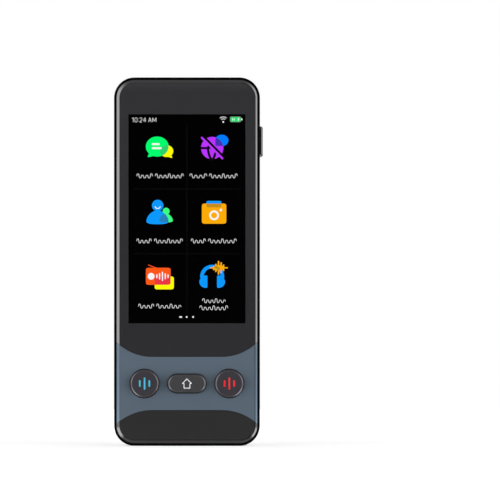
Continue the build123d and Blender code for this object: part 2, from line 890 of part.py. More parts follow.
def camera_barrel():
    """Lens barrel with a stepped mouth."""
    barrel = front_prism(disc((0, camera_z), barrel_diameter / 2), barrel_front_y,
                         barrel_back_y)
    for step in range(barrel_steps):
        narrowing = (barrel_mouth_diameter - barrel_throat_diameter) * step / barrel_steps
        bore = disc((0, camera_z), (barrel_mouth_diameter - narrowing) / 2)
        depth = barrel_throat_depth * (step + 1) / barrel_steps
        barrel -= front_prism(bore, barrel_back_y - depth, barrel_back_y)
    throat = disc((0, camera_z), barrel_throat_diameter / 2)
    lens_seat_y = barrel_back_y - barrel_throat_depth - lens_height
    return barrel - front_prism(throat, lens_seat_y, barrel_back_y)


def camera_lens():
    """Front lens with a domed face, seated in the barrel's throat."""
    seat_y = barrel_back_y - barrel_throat_depth - lens_height + fit_gap
    lens = front_prism(disc((0, camera_z), barrel_throat_diameter / 2 - fit_gap), seat_y,
                       seat_y + lens_height)
    face = lens.faces().sort_by(Axis.Y)[-1]
    return fillet(face.edges(), lens_dome)


def camera_gasket():
    """Foam ring around the barrel that closes the gap behind the plate."""
    inner = barrel_diameter / 2 + 3 * fit_gap
    ring = disc((0, camera_z), inner + camera_gasket_width) - disc((0, camera_z), inner)
    return front_prism(ring, barrel_front_y, barrel_back_y)


# ---------------------------------------------------------------- speaker
mesh_front_y = cover_back_y - mesh_thickness - stack_gap
gasket_front_y = mesh_front_y - gasket_thickness - stack_gap
speaker_back_y = gasket_front_y - stack_gap
cone_front_y = speaker_back_y - cone_drop - cone_thickness
speaker_floor_y = parts_front_y + speaker_wall


def speaker_plate(inset):
    """The speaker's outline, moved inwards by inset."""
    return Pos(0, speaker_z) * rounded_plate(speaker_width - 2 * inset,
                                             speaker_height - 2 * inset,
                                             max(speaker_radius - inset, fit_gap))


def speaker_basket():
    """Open tray that holds the speaker together."""
    tray = front_prism(speaker_plate(0), parts_front_y, speaker_back_y)
    return tray - front_prism(speaker_plate(speaker_wall), speaker_floor_y, speaker_back_y)


def speaker_magnet():
    """Magnet cup with the ring gap that the voice coil works in."""
    front_y = speaker_floor_y + stack_gap
    back_y = front_y + magnet_height
    centre = (0, speaker_z)
    ring = disc(centre, coil_diameter / 2 + coil_thickness + coil_gap) \
        - disc(centre, coil_diameter / 2 - coil_gap)
    cup = front_prism(disc(centre, magnet_diameter / 2), front_y, back_y)
    return cup - front_prism(ring, front_y + magnet_floor, back_y)


def speaker_coil():
    """Voice coil on the cone."""
    centre = (0, speaker_z)
    ring = disc(centre, coil_diameter / 2 + coil_thickness) - disc(centre, coil_diameter / 2)
    back_y = cone_front_y - stack_gap
    return front_prism(ring, back_y - coil_height, back_y)


def speaker_cone():
    """Diaphragm: flat surround with a raised oval middle."""
    sheet = front_prism(speaker_plate(speaker_wall + 2 * fit_gap), cone_front_y,
                        cone_front_y + cone_thickness)
    length = speaker_width - 2 * (speaker_wall + cone_middle_inset)
    middle = Pos(0, speaker_z) * SlotOverall(length, cone_middle_width)
    return sheet + front_prism(middle, cone_front_y + cone_thickness,
                               cone_front_y + cone_thickness + cone_middle_rise)


def speaker_gasket():
    """Foam frame that presses against the cover."""
    frame = speaker_plate(0) - speaker_plate(gasket_width)
    return front_prism(frame, gasket_front_y, gasket_front_y + gasket_thickness)


def speaker_mesh():
    """Dust mesh behind the speaker holes."""
    return front_prism(speaker_plate(mesh_inset), mesh_front_y,
                       mesh_front_y + mesh_thickness)


# ---------------------------------------------------------------- microphone and socket
def microphone():
    """Microphone on the main board."""
    plate = Pos(microphone_x, microphone_z) * Rectangle(microphone_width, microphone_depth)
    return front_prism(plate, parts_front_y, parts_front_y + microphone_height)


def microphone_boot():
    """Rubber tube that leads sound from the cover's hole to the microphone."""
    place = (microphone_x, microphone_z)
    inner = sound_hole_diameter / 2
    ring = disc(place, inner + boot_wall) - disc(place, inner)
    return front_prism(ring, parts_front_y + microphone_height + stack_gap,
                       cover_back_y - stack_gap)


def socket_shell():
    """Steel shell of the charging socket, open at the foot and at the rear."""
    outer = Pos(0, socket_y) * SlotOverall(socket_width, socket_height)
    inner = Pos(0, socket_y) * SlotOverall(socket_width - 2 * socket_wall,
                                           socket_height - 2 * socket_wall)
    return rising_prism(outer - inner, socket_sink, socket_sink + socket_depth)


def socket_tongue():
    """Plastic root that closes the socket's rear, with its contact tongue."""
    end_z = socket_sink + socket_depth
    root = Pos(0, socket_y) * SlotOverall(socket_width - 2 * socket_wall - 2 * fit_gap,
                                          socket_height - 2 * socket_wall - 2 * fit_gap)
    blade = Pos(0, socket_y) * Rectangle(tongue_width, tongue_thickness)
    body = rising_prism(root, end_z - tongue_root, end_z)
    return body + rising_prism(blade, socket_sink + tongue_recess, end_z - tongue_root)


def antenna():
    """Film antenna on the inside of the frame's head wall."""
    middle_y = lug_back_y + antenna_shift
    strip = Pos(0, middle_y) * Rectangle(antenna_length, antenna_width)
    top_z = body_height - frame_wall - fit_gap
    return rising_prism(strip, top_z - antenna_thickness, top_z)


# ---------------------------------------------------------------- assembly
def build():
    """Every piece by its name."""
    glass, panel, chin = front_panels()
    lcd, backlight = display()
    left_talk, home, right_talk = button_caps()
    return {
        "front_housing": front_housing(),
        "cover_glass": glass,
        "glass_adhesive": glass_adhesive(),
        "button_panel": panel,
        "chin_panel": chin,
        "lcd_panel": lcd,
        "backlight": backlight,
        "display_cable": display_cable(),
        "left_talk_button": front_button(*left_talk),
        "home_button": front_button(*home),
        "right_talk_button": front_button(*right_talk),
        "left_switch_plunger": front_plunger(left_talk[0]),
        "home_switch_plunger": front_plunger(home[0]),
        "right_switch_plunger": front_plunger(right_talk[0]),
        "button_switches": Compound([front_switch(place) for place, _ in button_caps()]),
        "button_board": button_board(),
        "chassis_plate": chassis_plate(),
        "main_board": main_board(),
        "processor": chip(processor_x, processor_z, processor_size),
        "processor_shield": shield(processor_x, processor_z, processor_size),
        "radio_chip": chip(radio_x, radio_z, radio_size),
        "radio_shield": shield(radio_x, radio_z, radio_size),
        "battery": battery(),
        "battery_tape": battery_tape(),
        "battery_lead": battery_lead(),
        "board_cable": board_cable(),
        "cable_connectors": cable_connectors(),
        "rear_frame": rear_frame(),
        "rear_cover": rear_cover(),
        "power_key": power_key(),
        "power_switch": power_switch(),
        "power_switch_plunger": power_plunger(),
        "camera_bezel": camera_bezel(),
        "camera_plate": camera_plate(),
        "camera_module": camera_module(),
        "camera_barrel": camera_barrel(),
        "camera_lens": camera_lens(),
        "camera_gasket": camera_gasket(),
        "speaker_basket": speaker_basket(),
        "speaker_magnet": speaker_magnet(),
        "speaker_coil": speaker_coil(),
        "speaker_cone": speaker_cone(),
        "speaker_gasket": speaker_gasket(),
        "speaker_mesh": speaker_mesh(),
        "microphone": microphone(),
        "microphone_boot": microphone_boot(),
        "socket_shell": socket_shell(),
        "socket_tongue": socket_tongue(),
        "antenna": antenna(),
        "lug_screws": screws(head_screw_places + foot_screw_places, lug_back_y),
        "chassis_screws": screws(middle_screw_places, chassis_back_y),
    }


for name, shape in build().items():
    export_step(shape, f"parts/{name}.step")
    print(f"{name}: {shape.volume:.1f} mm3")
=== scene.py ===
# %% [markdown]
# # Dressing a handheld translator
#
# The translator is a flat slab that stands upright: a black front shell with a cover glass, a
# blue-grey button panel and a dark chin, and behind them a bright frame with a dark rear cover.
# Its pieces are modelled already, at their real size. This lesson gives each of them its
# finish, draws what the screen and the buttons show, and sets up a plain studio.
#
# Lengths are in metres. +Z is up, +X is to the right, and the screen faces -Y.

# %% Load the pieces
import json
import math

import bmesh
import bpy
import numpy as np
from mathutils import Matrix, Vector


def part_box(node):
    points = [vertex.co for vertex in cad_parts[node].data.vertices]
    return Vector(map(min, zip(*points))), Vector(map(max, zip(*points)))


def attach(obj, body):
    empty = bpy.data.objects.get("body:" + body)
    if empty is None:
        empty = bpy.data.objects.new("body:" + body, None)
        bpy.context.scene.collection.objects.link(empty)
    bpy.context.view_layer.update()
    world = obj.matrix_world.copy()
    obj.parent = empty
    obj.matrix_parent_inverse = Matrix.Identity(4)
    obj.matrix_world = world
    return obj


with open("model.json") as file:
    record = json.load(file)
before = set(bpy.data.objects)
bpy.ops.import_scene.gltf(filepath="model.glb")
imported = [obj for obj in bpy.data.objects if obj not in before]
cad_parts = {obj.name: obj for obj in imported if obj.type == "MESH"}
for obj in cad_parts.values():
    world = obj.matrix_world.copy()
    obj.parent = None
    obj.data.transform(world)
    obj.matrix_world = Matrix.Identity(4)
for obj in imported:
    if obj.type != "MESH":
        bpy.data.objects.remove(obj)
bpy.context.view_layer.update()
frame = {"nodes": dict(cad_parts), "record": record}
nodes = frame["nodes"]
MM = 0.001

# %% [markdown]
# ## Camera
#
# A long lens far away keeps the slab's edges nearly parallel, as in a catalogue picture. The
# camera looks along +Y, to the right of the translator, and sees `VIEW_WIDTH` at the glass.

# %% Camera
VIEW_WIDTH = 159.0 * MM
LENS = 600.0
SENSOR = 36.0
VIEW_CENTRE = (20.05 * MM, 62.3 * MM)
GLASS_FACE_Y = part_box("cover_glass")[0].y

camera = bpy.data.objects.new("camera", bpy.data.cameras.new("camera"))
camera.data.lens = LENS
camera.data.sensor_width = SENSOR
camera.location = (VIEW_CENTRE[0], GLASS_FACE_Y - VIEW_WIDTH * LENS / SENSOR, VIEW_CENTRE[1])
camera.rotation_euler = (math.radians(90), 0, 0)
camera.data.clip_end = 20.0
bpy.context.collection.objects.link(camera)
bpy.context.scene.camera = camera
print("camera stands", round(-camera.location.y, 3), "m in front")

# %% [markdown]
# ## Shader nodes with less typing
#
# A material is a small graph. `add` makes one node in the tree of another and fills its
# inputs, and a value that is a node's output becomes a link. Short helpers for arithmetic, soft
# steps and mixed colours keep each material readable.

# %% Node helpers
SRGB_KNEE = 0.04045


def linear(*levels):
    """Colour levels from 0 to 255 as light: a short straight foot, then a power of 2.4."""
    share = np.array(levels, float) / 255
    curve = np.where(share <= SRGB_KNEE, share / 12.92, ((share + 0.055) / 1.055) ** 2.4)
    return tuple(curve) + (1.0,)


def fill(node, values=(), **named):
    """Fills inputs with values or links. A name has _ where the input has a space."""
    for key, value in {**dict(values), **named}.items():
        socket = node.inputs[key.replace("_", " ") if isinstance(key, str) else key]
        if isinstance(value, bpy.types.NodeSocket):
            node.id_data.links.new(value, socket)
        else:
            socket.default_value = value


def add(where, kind, values=(), **settings):
    """Adds the node "ShaderNode" + kind to the tree of another node or output."""
    node = where.id_data.nodes.new("ShaderNode" + kind)
    for key, setting in settings.items():
        setattr(node, key, setting)
    fill(node, values)
    return node


def maths(operation, *values):
    """One arithmetic step on outputs and numbers, in the tree of its first output."""
    where = next(value for value in values if isinstance(value, bpy.types.NodeSocket))
    return add(where, "Math", enumerate(values), operation=operation).outputs[0]


def times(first, *others):
    """The product of some outputs and numbers."""
    for other in others:
        first = maths("MULTIPLY", first, other)
    return first


def ramp(value, low, high, at_low=0.0, at_high=1.0):
    """Maps value from low..high to at_low..at_high with soft ends."""
    values = enumerate((value, low, high, at_low, at_high))
    return add(value, "MapRange", values, interpolation_type="SMOOTHSTEP").outputs[0]


def blend(share, first, second):
    """Mixes two colours by a share from 0 to 1."""
    return add(share, "Mix", {0: share, 6: first, 7: second}, data_type="RGBA").outputs[2]


def scaled(colour, factor):
    """A colour times a number."""
    return add(colour, "VectorMath", {0: colour, 3: factor}, operation="SCALE").outputs[0]


def place_on(where):
    """The place on the object, which moves with it."""
    return add(where, "TexCoord").outputs["Object"]


def axes(where):
    """The same place as three outputs, X, Y and Z."""
    return add(where, "SeparateXYZ", {0: place_on(where)}).outputs


print("node helpers ready")

# %% [markdown]
# ## Moulded plastic
#
# Moulded parts copy the spark-eroded grain of their tool: pits of about a tenth of a
# millimetre, too fine to see one by one, which turn a gloss into a satin. Larger soft patches,
# where the plastic cooled a little differently, shift the gloss by a few percent. Both are
# noise on the object's own coordinates, so they stay with the piece when it moves.

# %% Group: moulded plastic
PATCHES_PER_METRE = 120.0


def group(name, inputs, *outputs):
    """Starts a node group. inputs maps names to first values. Only "Colour" isn't a number."""
    tree = bpy.data.node_groups.new(name, "ShaderNodeTree")
    for key, side in [(key, "INPUT") for key in inputs] + [(key, "OUTPUT") for key in outputs]:
        kind = "NodeSocketColor" if key == "Colour" else "NodeSocketFloat"
        socket = tree.interface.new_socket(key, in_out=side, socket_type=kind)
        if side == "INPUT":
            socket.default_value = inputs[key]
    return tree.nodes.new("NodeGroupInput").outputs, tree.nodes.new("NodeGroupOutput")


def noise(place, scale, detail=2.0):
    """Soft noise from 0 to 1."""
    values = {"Vector": place, "Scale": scale, "Detail": detail}
    return add(place, "TexNoise", values).outputs["Fac"]


def shifted(roughness, wobble, strength):
    """Roughness plus the noise about zero times the strength."""
    return maths("ADD", roughness, times(wobble, strength))


def moulded_group():
    """Colour, roughness and height of moulded plastic.

    Height is fine noise. Roughness is its input, plus coarse noise about zero times the patch
    strength. Colour is its input, lightened by the same noise times the fade.
    """
    inputs = {"Colour": (0.5, 0.5, 0.5, 1.0), "Roughness": 0.4, "Patches": 0.05,
              "Fade": 0.06, "Grain per metre": 7000.0}
    source, target = group("moulded plastic", inputs, "Colour", "Roughness", "Height")
    place = place_on(target)
    patch = maths("SUBTRACT", noise(place, PATCHES_PER_METRE, 3.0), 0.5)
    lift = maths("MULTIPLY_ADD", patch, source["Fade"], 1.0)
    fill(target, Colour=scaled(source["Colour"], lift),
         Roughness=shifted(source["Roughness"], patch, source["Patches"]),
         Height=noise(place, source["Grain per metre"]))
    return target.id_data


MOULDED = moulded_group()
print("group:", MOULDED.name)

# %% [markdown]
# ## Drawn and brushed metal
#
# Rolling and brushing leave lines along one direction. Noise that is stretched along them
# gives bands of differing roughness and a fine ribbed height.

# %% Group: brushed metal
STRETCH = 40


def brushed_group():
    """Roughness and height of brushed metal: noise stretched along z."""
    inputs = {"Roughness": 0.3, "Streaks": 0.12, "Lines per metre": 9000.0}
    source, target = group("brushed metal", inputs, "Roughness", "Height")
    squeeze = {"Vector": place_on(target), "Scale": (1.0, 1.0, 1 / STRETCH)}
    lines = noise(add(target, "Mapping", squeeze).outputs[0], source["Lines per metre"])
    streak = maths("SUBTRACT", lines, 0.5)
    fill(target, Roughness=shifted(source["Roughness"], streak, source["Streaks"]),
         Height=lines)
    return target.id_data


BRUSHED = brushed_group()
print("group:", BRUSHED.name)

# %% [markdown]
# ## Materials
#
# `plastic` and `metal` make a material each: a Principled shader whose colour, roughness and
# bump come from one of the two groups. Anything that is the same all over a piece, such as how
# metallic it is or its index of refraction, is set on the shader itself.

# %% Material builders
GRAIN_DEPTH = 0.004 * MM


def shader(name, **constants):
    """A new material and its skin, the Principled shader, with constant values set."""
    material = bpy.data.materials.new(name)
    material.use_nodes = True
    skin = material.node_tree.nodes["Principled BSDF"]
    fill(skin, **constants)
    return material, skin


def bump(skin, height, strength, depth=GRAIN_DEPTH):
    """Lets a height tilt the surface's normal."""
    tilt = add(skin, "Bump", {"Height": height, "Strength": strength, "Distance": depth})
    fill(skin, Normal=tilt.outputs[0])


def textured(skin, effect, grain, depth=GRAIN_DEPTH, **values):
    """Places a group, joins its roughness and, with some grain, its height. Its outputs."""
    node = add(skin, "Group", node_tree=effect)
    fill(node, **values)
    fill(skin, Roughness=node.outputs["Roughness"])
    if grain:
        bump(skin, node.outputs["Height"], grain, depth)
    return node.outputs


def moulded(skin, colour, roughness, grain=0.0, patches=0.05):
    """Places the moulded group and gives the colour that it makes."""
    return textured(skin, MOULDED, grain, Colour=colour, Roughness=roughness,
                    Patches=patches)["Colour"]


def plastic(name, levels, roughness, grain=0.3, patches=0.05, **constants):
    """Moulded plastic, rubber or foam, its colour in levels from 0 to 255."""
    material, skin = shader(name, **constants)
    fill(skin, Base_Color=moulded(skin, linear(*levels), roughness, grain, patches))
    return material


def metal(name, levels, roughness, streaks=0.12, ribs=0.2):
    """Bare or plated metal."""
    material, skin = shader(name, Metallic=1.0, Base_Color=linear(*levels))
    textured(skin, BRUSHED, ribs, Roughness=roughness, Streaks=streaks)
    return material


print("material builders ready")

# %% [markdown]
# ## Masks that know the piece's sizes
#
# A printed border or a soft shadow around a button follows a rounded rectangle. The distance
# to one has a short formula, worked out in the shader. It is negative inside, and grows
# outwards in metres.

# %% Group: distance to a rounded rectangle
def rounded_box_group():
    """Distance to a rounded rectangle in the x-z plane.

    q = |p - middle| - (half size - radius), and the distance is the length of max(q, 0), plus
    min(max(q.x, q.z), 0), less the radius.
    """
    inputs = {"Middle x": 0.0, "Middle z": 0.0, "Half width": 0.01, "Half height": 0.01,
              "Radius": 0.001}
    source, target = group("rounded box distance", inputs, "Distance")
    place = axes(target)
    reach = []
    for axis, middle, half in (("X", "Middle x", "Half width"),
                               ("Z", "Middle z", "Half height")):
        away = maths("ABSOLUTE", maths("SUBTRACT", place[axis], source[middle]))
        core = maths("SUBTRACT", source[half], source["Radius"])
        reach.append(maths("SUBTRACT", away, core))
    outside = [maths("MAXIMUM", value, 0.0) for value in reach]
    squares = [times(value, value) for value in outside]
    length = maths("SQRT", maths("ADD", *squares))
    inside = maths("MINIMUM", maths("MAXIMUM", *reach), 0.0)
    total = maths("ADD", length, inside)
    fill(target, Distance=maths("SUBTRACT", total, source["Radius"]))
    return target.id_data


ROUNDED_BOX = rounded_box_group()


def nearest(where, *shapes):
    """Distance to the nearest of some (middle, half size, radius) rounded rectangles."""
    away = 1.0
    for middle, half, radius in shapes:
        node = add(where, "Group", node_tree=ROUNDED_BOX)
        fill(node, enumerate((*middle, *half, radius)))
        away = maths("MINIMUM", away, node.outputs["Distance"])
    return away


def inner_box(node, inset=0.0):
    """Middle and half size, in x and z, of a piece's box less an inset all round."""
    low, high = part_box(node)
    middle = ((low.x + high.x) / 2, (low.z + high.z) / 2)
    return middle, ((high.x - low.x) / 2 - inset, (high.z - low.z) / 2 - inset)


print("group:", ROUNDED_BOX.name)

# %% [markdown]
# ## Polished bevels
#
# The front panels, the caps and the camera rim end in a narrow polished bevel, the only part of
# them that shines like metal. It lies between an outline and the same outline moved inwards, so
# a step in the distance is its mask. There the surface is metallic, and the base colour is the
# share of light that it sends back. Along the panels' right side the inner part of the bevel
# keeps the dark panel colour, a painted shade that narrows the bright line there. Just inside
# the bevel a thin painted shade darkens the surface.

# %% Bevel masks
RIM_WIDTH = 0.85 * MM
BEVEL_WIDTH = 0.95 * MM
TILTED_WIDTH = 0.9 * MM
POLISHED_WIDTH = 0.86 * MM
# Painted shade: width of the right bevel's inner part that keeps the dark panel colour.
RIGHT_BEVEL_PAINTED_SHADE_WIDTH = 0.36 * MM
CORNER_RADIUS = 6.5 * MM
BEVEL_EDGE = 0.06 * MM
# Painted shade in a thin strip just inside the bevel: its width and the share of light left.
DIP_WIDTH = 0.4 * MM
DIP_SHARE = 0.75
BEVEL_SHINE = linear(156, 156, 157)
PLATE_MIDDLE, PLATE_HALF = inner_box("front_housing", RIM_WIDTH)
PLATE_RADIUS = CORNER_RADIUS - RIM_WIDTH


def bevel_mask(distance, width):
    """1 within a bevel's width of the outline, 0 further inside."""
    return ramp(distance, -width - BEVEL_EDGE, -width + BEVEL_EDGE)


def with_bevel(skin, colour, shine_colour, dip=DIP_SHARE):
    """Joins a front panel's colour with the bevel that runs round the three panels.

    The colour gets a painted shade next to the bevel and gives way to the shine on its polished
    part. On the right the shine's outline is moved out by a painted shade width, so the inner
    part of the bevel there stays dark.
    """
    # Painted shade: the shine's outline is moved out on the right, so the right bevel's inner
    # part stays dark.
    shift = RIGHT_BEVEL_PAINTED_SHADE_WIDTH / 2
    moved = nearest(skin, ((PLATE_MIDDLE[0] + shift, PLATE_MIDDLE[1]),
                           (PLATE_HALF[0] + shift, PLATE_HALF[1]), PLATE_RADIUS))
    away = nearest(skin, (PLATE_MIDDLE, PLATE_HALF, PLATE_RADIUS))
    # Painted shade in a thin strip just inside the bevel.
    shade = ramp(away, -BEVEL_WIDTH - DIP_WIDTH, -BEVEL_WIDTH, 1.0, dip)
    fill(skin, Metallic=bevel_mask(away, TILTED_WIDTH),
         Base_Color=blend(bevel_mask(moved, POLISHED_WIDTH),
                          scaled(colour, shade), shine_colour))


print("bevel", BEVEL_WIDTH / MM, "mm wide")

# %% [markdown]
# ## Cover glass
#
# The glass is printed dark grey on its back, all but the window over the lit area, which
# shows the black screen. Hair lines a shade lighter than black part the screen into six cells.
# The finish is one glossy surface whose colour changes at the window's edge. The printed grey
# is a little darker towards the bottom, and near the top edge a painted sheen lightens it. The
# window's place comes from the display's box less its dark borders.

# %% Cover glass material
SCREEN_BORDER_SIDE = 1.43 * MM
SCREEN_BORDER_FOOT = 1.65 * MM
SCREEN_BORDER_HEAD = 3.3 * MM
screen_low, screen_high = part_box("lcd_panel")
SCREEN_HALF_WIDTH = screen_high.x - SCREEN_BORDER_SIDE
SCREEN_FOOT = screen_low.z + SCREEN_BORDER_FOOT
SCREEN_HEAD = screen_high.z - SCREEN_BORDER_HEAD
SCREEN_MIDDLE = (SCREEN_FOOT + SCREEN_HEAD) / 2
SCREEN_HALF_HEIGHT = (SCREEN_HEAD - SCREEN_FOOT) / 2
WINDOW_RADIUS = 0.2 * MM
WINDOW_SOFTNESS = 0.12 * MM
GLASS_PRINT = linear(51, 51, 53)
GLASS_PRINT_LOW = linear(49, 49, 51)
# Painted sheen: a lighter grey blended in near the top edge of the glass.
GLASS_TOP_PAINTED_SHEEN = linear(62, 62, 63)
GLASS_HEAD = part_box("front_housing")[1].z
HEAD_FADE = 5.0 * MM
SCREEN_BLACK = linear(1, 1, 1)
DIVIDER = linear(12, 12, 12)
HALF_DIVIDER = 0.17 * MM
DIVIDER_HALF_LENGTH = 17.1 * MM
DIVIDER_ROWS = (SCREEN_HEAD - 23.7 * MM, SCREEN_HEAD - 44.3 * MM)
DIVIDER_HEAD = SCREEN_HEAD - 3.1 * MM
DIVIDER_FOOT = SCREEN_FOOT + 3.0 * MM


def divider_mask(skin):
    """1 on the three hair lines between the six cells of the screen: one upright, two level."""
    upright = ((0.0, (DIVIDER_HEAD + DIVIDER_FOOT) / 2),
               (HALF_DIVIDER, (DIVIDER_HEAD - DIVIDER_FOOT) / 2), HALF_DIVIDER)
    level = [((0.0, z), (DIVIDER_HALF_LENGTH, HALF_DIVIDER), HALF_DIVIDER)
             for z in DIVIDER_ROWS]
    away = nearest(skin, upright, *level)
    return ramp(away, -WINDOW_SOFTNESS / 2, WINDOW_SOFTNESS / 2, 1.0, 0.0)


def glass_material():
    """Dark printed border around a black window with its dividers, under one glossy surface."""
    material, skin = shader("cover glass", IOR=1.6)
    height = axes(skin)["Z"]
    upward = ramp(height, SCREEN_FOOT, SCREEN_HEAD)
    # Painted sheen: near the top edge the printed grey turns lighter.
    head = ramp(height, GLASS_HEAD - HEAD_FADE, GLASS_HEAD)
    printed = blend(head, blend(upward, GLASS_PRINT_LOW, GLASS_PRINT), GLASS_TOP_PAINTED_SHEEN)
    look = moulded(skin, printed, 0.1, patches=0.02)
    window = blend(divider_mask(skin), SCREEN_BLACK, DIVIDER)
    edge = nearest(skin, ((0.0, SCREEN_MIDDLE), (SCREEN_HALF_WIDTH, SCREEN_HALF_HEIGHT),
                          WINDOW_RADIUS))
    colour = blend(ramp(edge, 0.0, WINDOW_SOFTNESS), window, look)
    with_bevel(skin, colour, BEVEL_SHINE)
    return material


glass = glass_material()
print("window:", round(2 * SCREEN_HALF_WIDTH / MM, 1), "x",
      round(2 * SCREEN_HALF_HEIGHT / MM, 1), "mm")

# %% [markdown]
# ## Button panel and chin
#
# The button panel is satin blue-grey, and the chin under it satin black. The raised caps keep
# light off the panel, most of all beside them, less above and below. So each cap takes away a
# share that fades as exp(-distance / reach), times a bell curve of the height over the row.

# %% Button panel and chin materials
BUTTONS = ("left_talk_button", "home_button", "right_talk_button")
CAP_FLANGE = 0.65 * MM
NEARLY_ROUND = 0.999
SHADOW_REACH = 2.1 * MM
SHADOW_HALF_HEIGHT = 3.4 * MM
SHADOW_DEPTH = 0.56
SLATE = linear(90, 105, 119)
SLATE_SHINE = linear(141, 162, 182)
# Painted shade just inside the slate panel's bevel: the share of light left there.
SLATE_DIP = 0.95


def cap_shape(node):
    """Middle, half size and corner radius of a button's cap, from its box less its flange."""
    middle, half = inner_box(node, CAP_FLANGE)
    return middle, half, min(half) * NEARLY_ROUND


def row_shade(skin):
    """Share of the light that is left: the product over the caps of 1 - depth * fade."""
    row_height = inner_box(BUTTONS[0])[0][1]
    rise = maths("SUBTRACT", axes(skin)["Z"], row_height)
    rise = maths("DIVIDE", rise, SHADOW_HALF_HEIGHT)
    bell = maths("EXPONENT", times(rise, rise, -1.0))
    left = 1.0
    for node in BUTTONS:
        away = maths("MAXIMUM", nearest(skin, cap_shape(node)), 0.0)
        fade = maths("EXPONENT", maths("DIVIDE", away, -SHADOW_REACH))
        depth = times(fade, bell, SHADOW_DEPTH)
        left = times(maths("SUBTRACT", 1.0, depth), left)
    return left


def panel(name, colour, shine, roughness, grain, dip=DIP_SHARE, shade=None):
    """Satin plastic with the panels' bevel, and a shade over its colour where one is given."""
    material, skin = shader(name, IOR=1.5)
    look = moulded(skin, colour, roughness, grain)
    if shade:
        look = scaled(look, shade(skin))
    with_bevel(skin, look, shine, dip)
    return material


slate = panel("slate panel", SLATE, SLATE_SHINE, 0.38, 0.25, SLATE_DIP, row_shade)
chin = panel("chin", linear(46, 46, 46), BEVEL_SHINE, 0.12, 0.1)
print("panel shade reaches", round(SHADOW_REACH / MM, 1), "mm from the caps")

# %% [markdown]
# ## Caps and camera rim
#
# The caps and the camera rim have bevels of their own, all by one recipe, `bevelled`.

# %% Bevelled plastics
CAP_BEVEL = 0.4 * MM
RIM_FLANGE = 0.8 * MM
RIM_BEVEL = 0.45 * MM
RIM_CORNER = 2.6 * MM
CAP_OUTLINES = [cap_shape(node) for node in BUTTONS]
RIM_OUTLINE = (*inner_box("camera_bezel", RIM_FLANGE), RIM_CORNER)


def bevelled(name, levels, shine, roughness, width, *outlines):
    """Plastic whose outer width shines: the base colour there is the share sent back."""
    material, skin = shader(name, IOR=1.5, Specular_IOR_Level=0.3)
    look = moulded(skin, linear(*levels), roughness, 0.1)
    bevel = bevel_mask(nearest(skin, *outlines), width)
    fill(skin, Base_Color=blend(bevel, look, linear(*shine)), Metallic=bevel)
    return material


caps = bevelled("talk caps", (60, 58, 63), (139, 135, 141), 0.34, CAP_BEVEL, *CAP_OUTLINES)
home_cap = bevelled("home cap", (67, 67, 69), (139, 139, 141), 0.34, CAP_BEVEL, *CAP_OUTLINES)
camera_rim = bevelled("camera rim", (44, 44, 46), (190, 190, 193), 0.2, RIM_BEVEL, RIM_OUTLINE)
print("bevelled plastics: caps, camera rim")

# %% [markdown]
# ## Rear cover
#
# The cover is soft matt black-grey. Towards its curved long sides it turns away from the light
# behind the translator, and a soft darkening there makes the curve readable.

# %% Rear cover material
COVER_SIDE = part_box("rear_cover")[1].x
CURVE_START = 5.8 * MM
CURVE_END = 1.2 * MM
CURVE_LIGHT = 0.34


def cover_material():
    """Matt plastic, whose colour falls to a third where |x| nears the long sides."""
    material, skin = shader("rear cover", Specular_IOR_Level=0.3)
    look = moulded(skin, linear(50, 50, 52), 0.55, 0.4)
    inset = maths("SUBTRACT", COVER_SIDE, maths("ABSOLUTE", axes(skin)["X"]))
    light = ramp(inset, CURVE_END, CURVE_START, CURVE_LIGHT, 1.0)
    fill(skin, Base_Color=scaled(look, light))
    return material


cover = cover_material()
print("cover darkens over", (CURVE_START - CURVE_END) / MM, "mm")

# %% [markdown]
# ## Circuit boards, film cables and the cell
#
# What lies inside is finished too. A board is green solder resist over copper tracks, which
# show as a slightly lighter, raised pattern. A film cable is amber with copper strips along
# it. The cell's pouch is a crinkled foil, and the speaker's dust mesh is woven.

# %% Inside materials
TRACK_PITCH = 0.8 * MM
STRIP_PITCH = 0.5 * MM
MESH_PITCH = 0.12 * MM
RELIEF = 0.02 * MM
CRINKLE_DEPTH = 0.2 * MM
CRINKLES_PER_METRE = 350.0


def sine(along, pitch):
    """sin(2 pi along / pitch)."""
    return maths("SINE", times(along, 2 * math.pi / pitch))


def lattice(where, pitch):
    """The greater of two sine waves, one along x and one along z."""
    place = axes(where)
    return maths("MAXIMUM", *(sine(place[axis], pitch) for axis in ("X", "Z")))


def board_material():
    """Solder resist over tracks: brick-like blocks joined by thin lines."""
    material, skin = shader("circuit board", IOR=1.5, Roughness=0.35)
    place = axes(skin)
    flat = add(skin, "CombineXYZ", {"X": place["X"], "Y": place["Z"]})
    tracks = add(skin, "TexBrick",
                 {"Vector": flat.outputs[0], "Scale": 1.0, "Color1": linear(20, 84, 58),
                  "Color2": linear(14, 66, 46), "Mortar": linear(30, 108, 76),
                  "Mortar Size": TRACK_PITCH / 6, "Brick Width": 4 * TRACK_PITCH,
                  "Row Height": TRACK_PITCH})
    fill(skin, Base_Color=tracks.outputs["Color"])
    bump(skin, tracks.outputs["Fac"], 0.3, RELIEF)
    return material


def film_material():
    """Amber film over copper strips that run along z."""
    material, skin = shader("film cable", IOR=1.6, Roughness=0.3)
    strip = ramp(sine(axes(skin)["X"], STRIP_PITCH), -0.2, 0.2)
    fill(skin, Base_Color=blend(strip, linear(96, 46, 14), linear(176, 104, 44)))
    return material


def foil_material():
    """Crinkled foil: coarse noise as height on a soft metal."""
    material, skin = shader("cell foil", Metallic=1.0, Base_Color=linear(188, 190, 194))
    textured(skin, MOULDED, 0.5, CRINKLE_DEPTH, Roughness=0.32,
             Grain_per_metre=CRINKLES_PER_METRE)
    return material


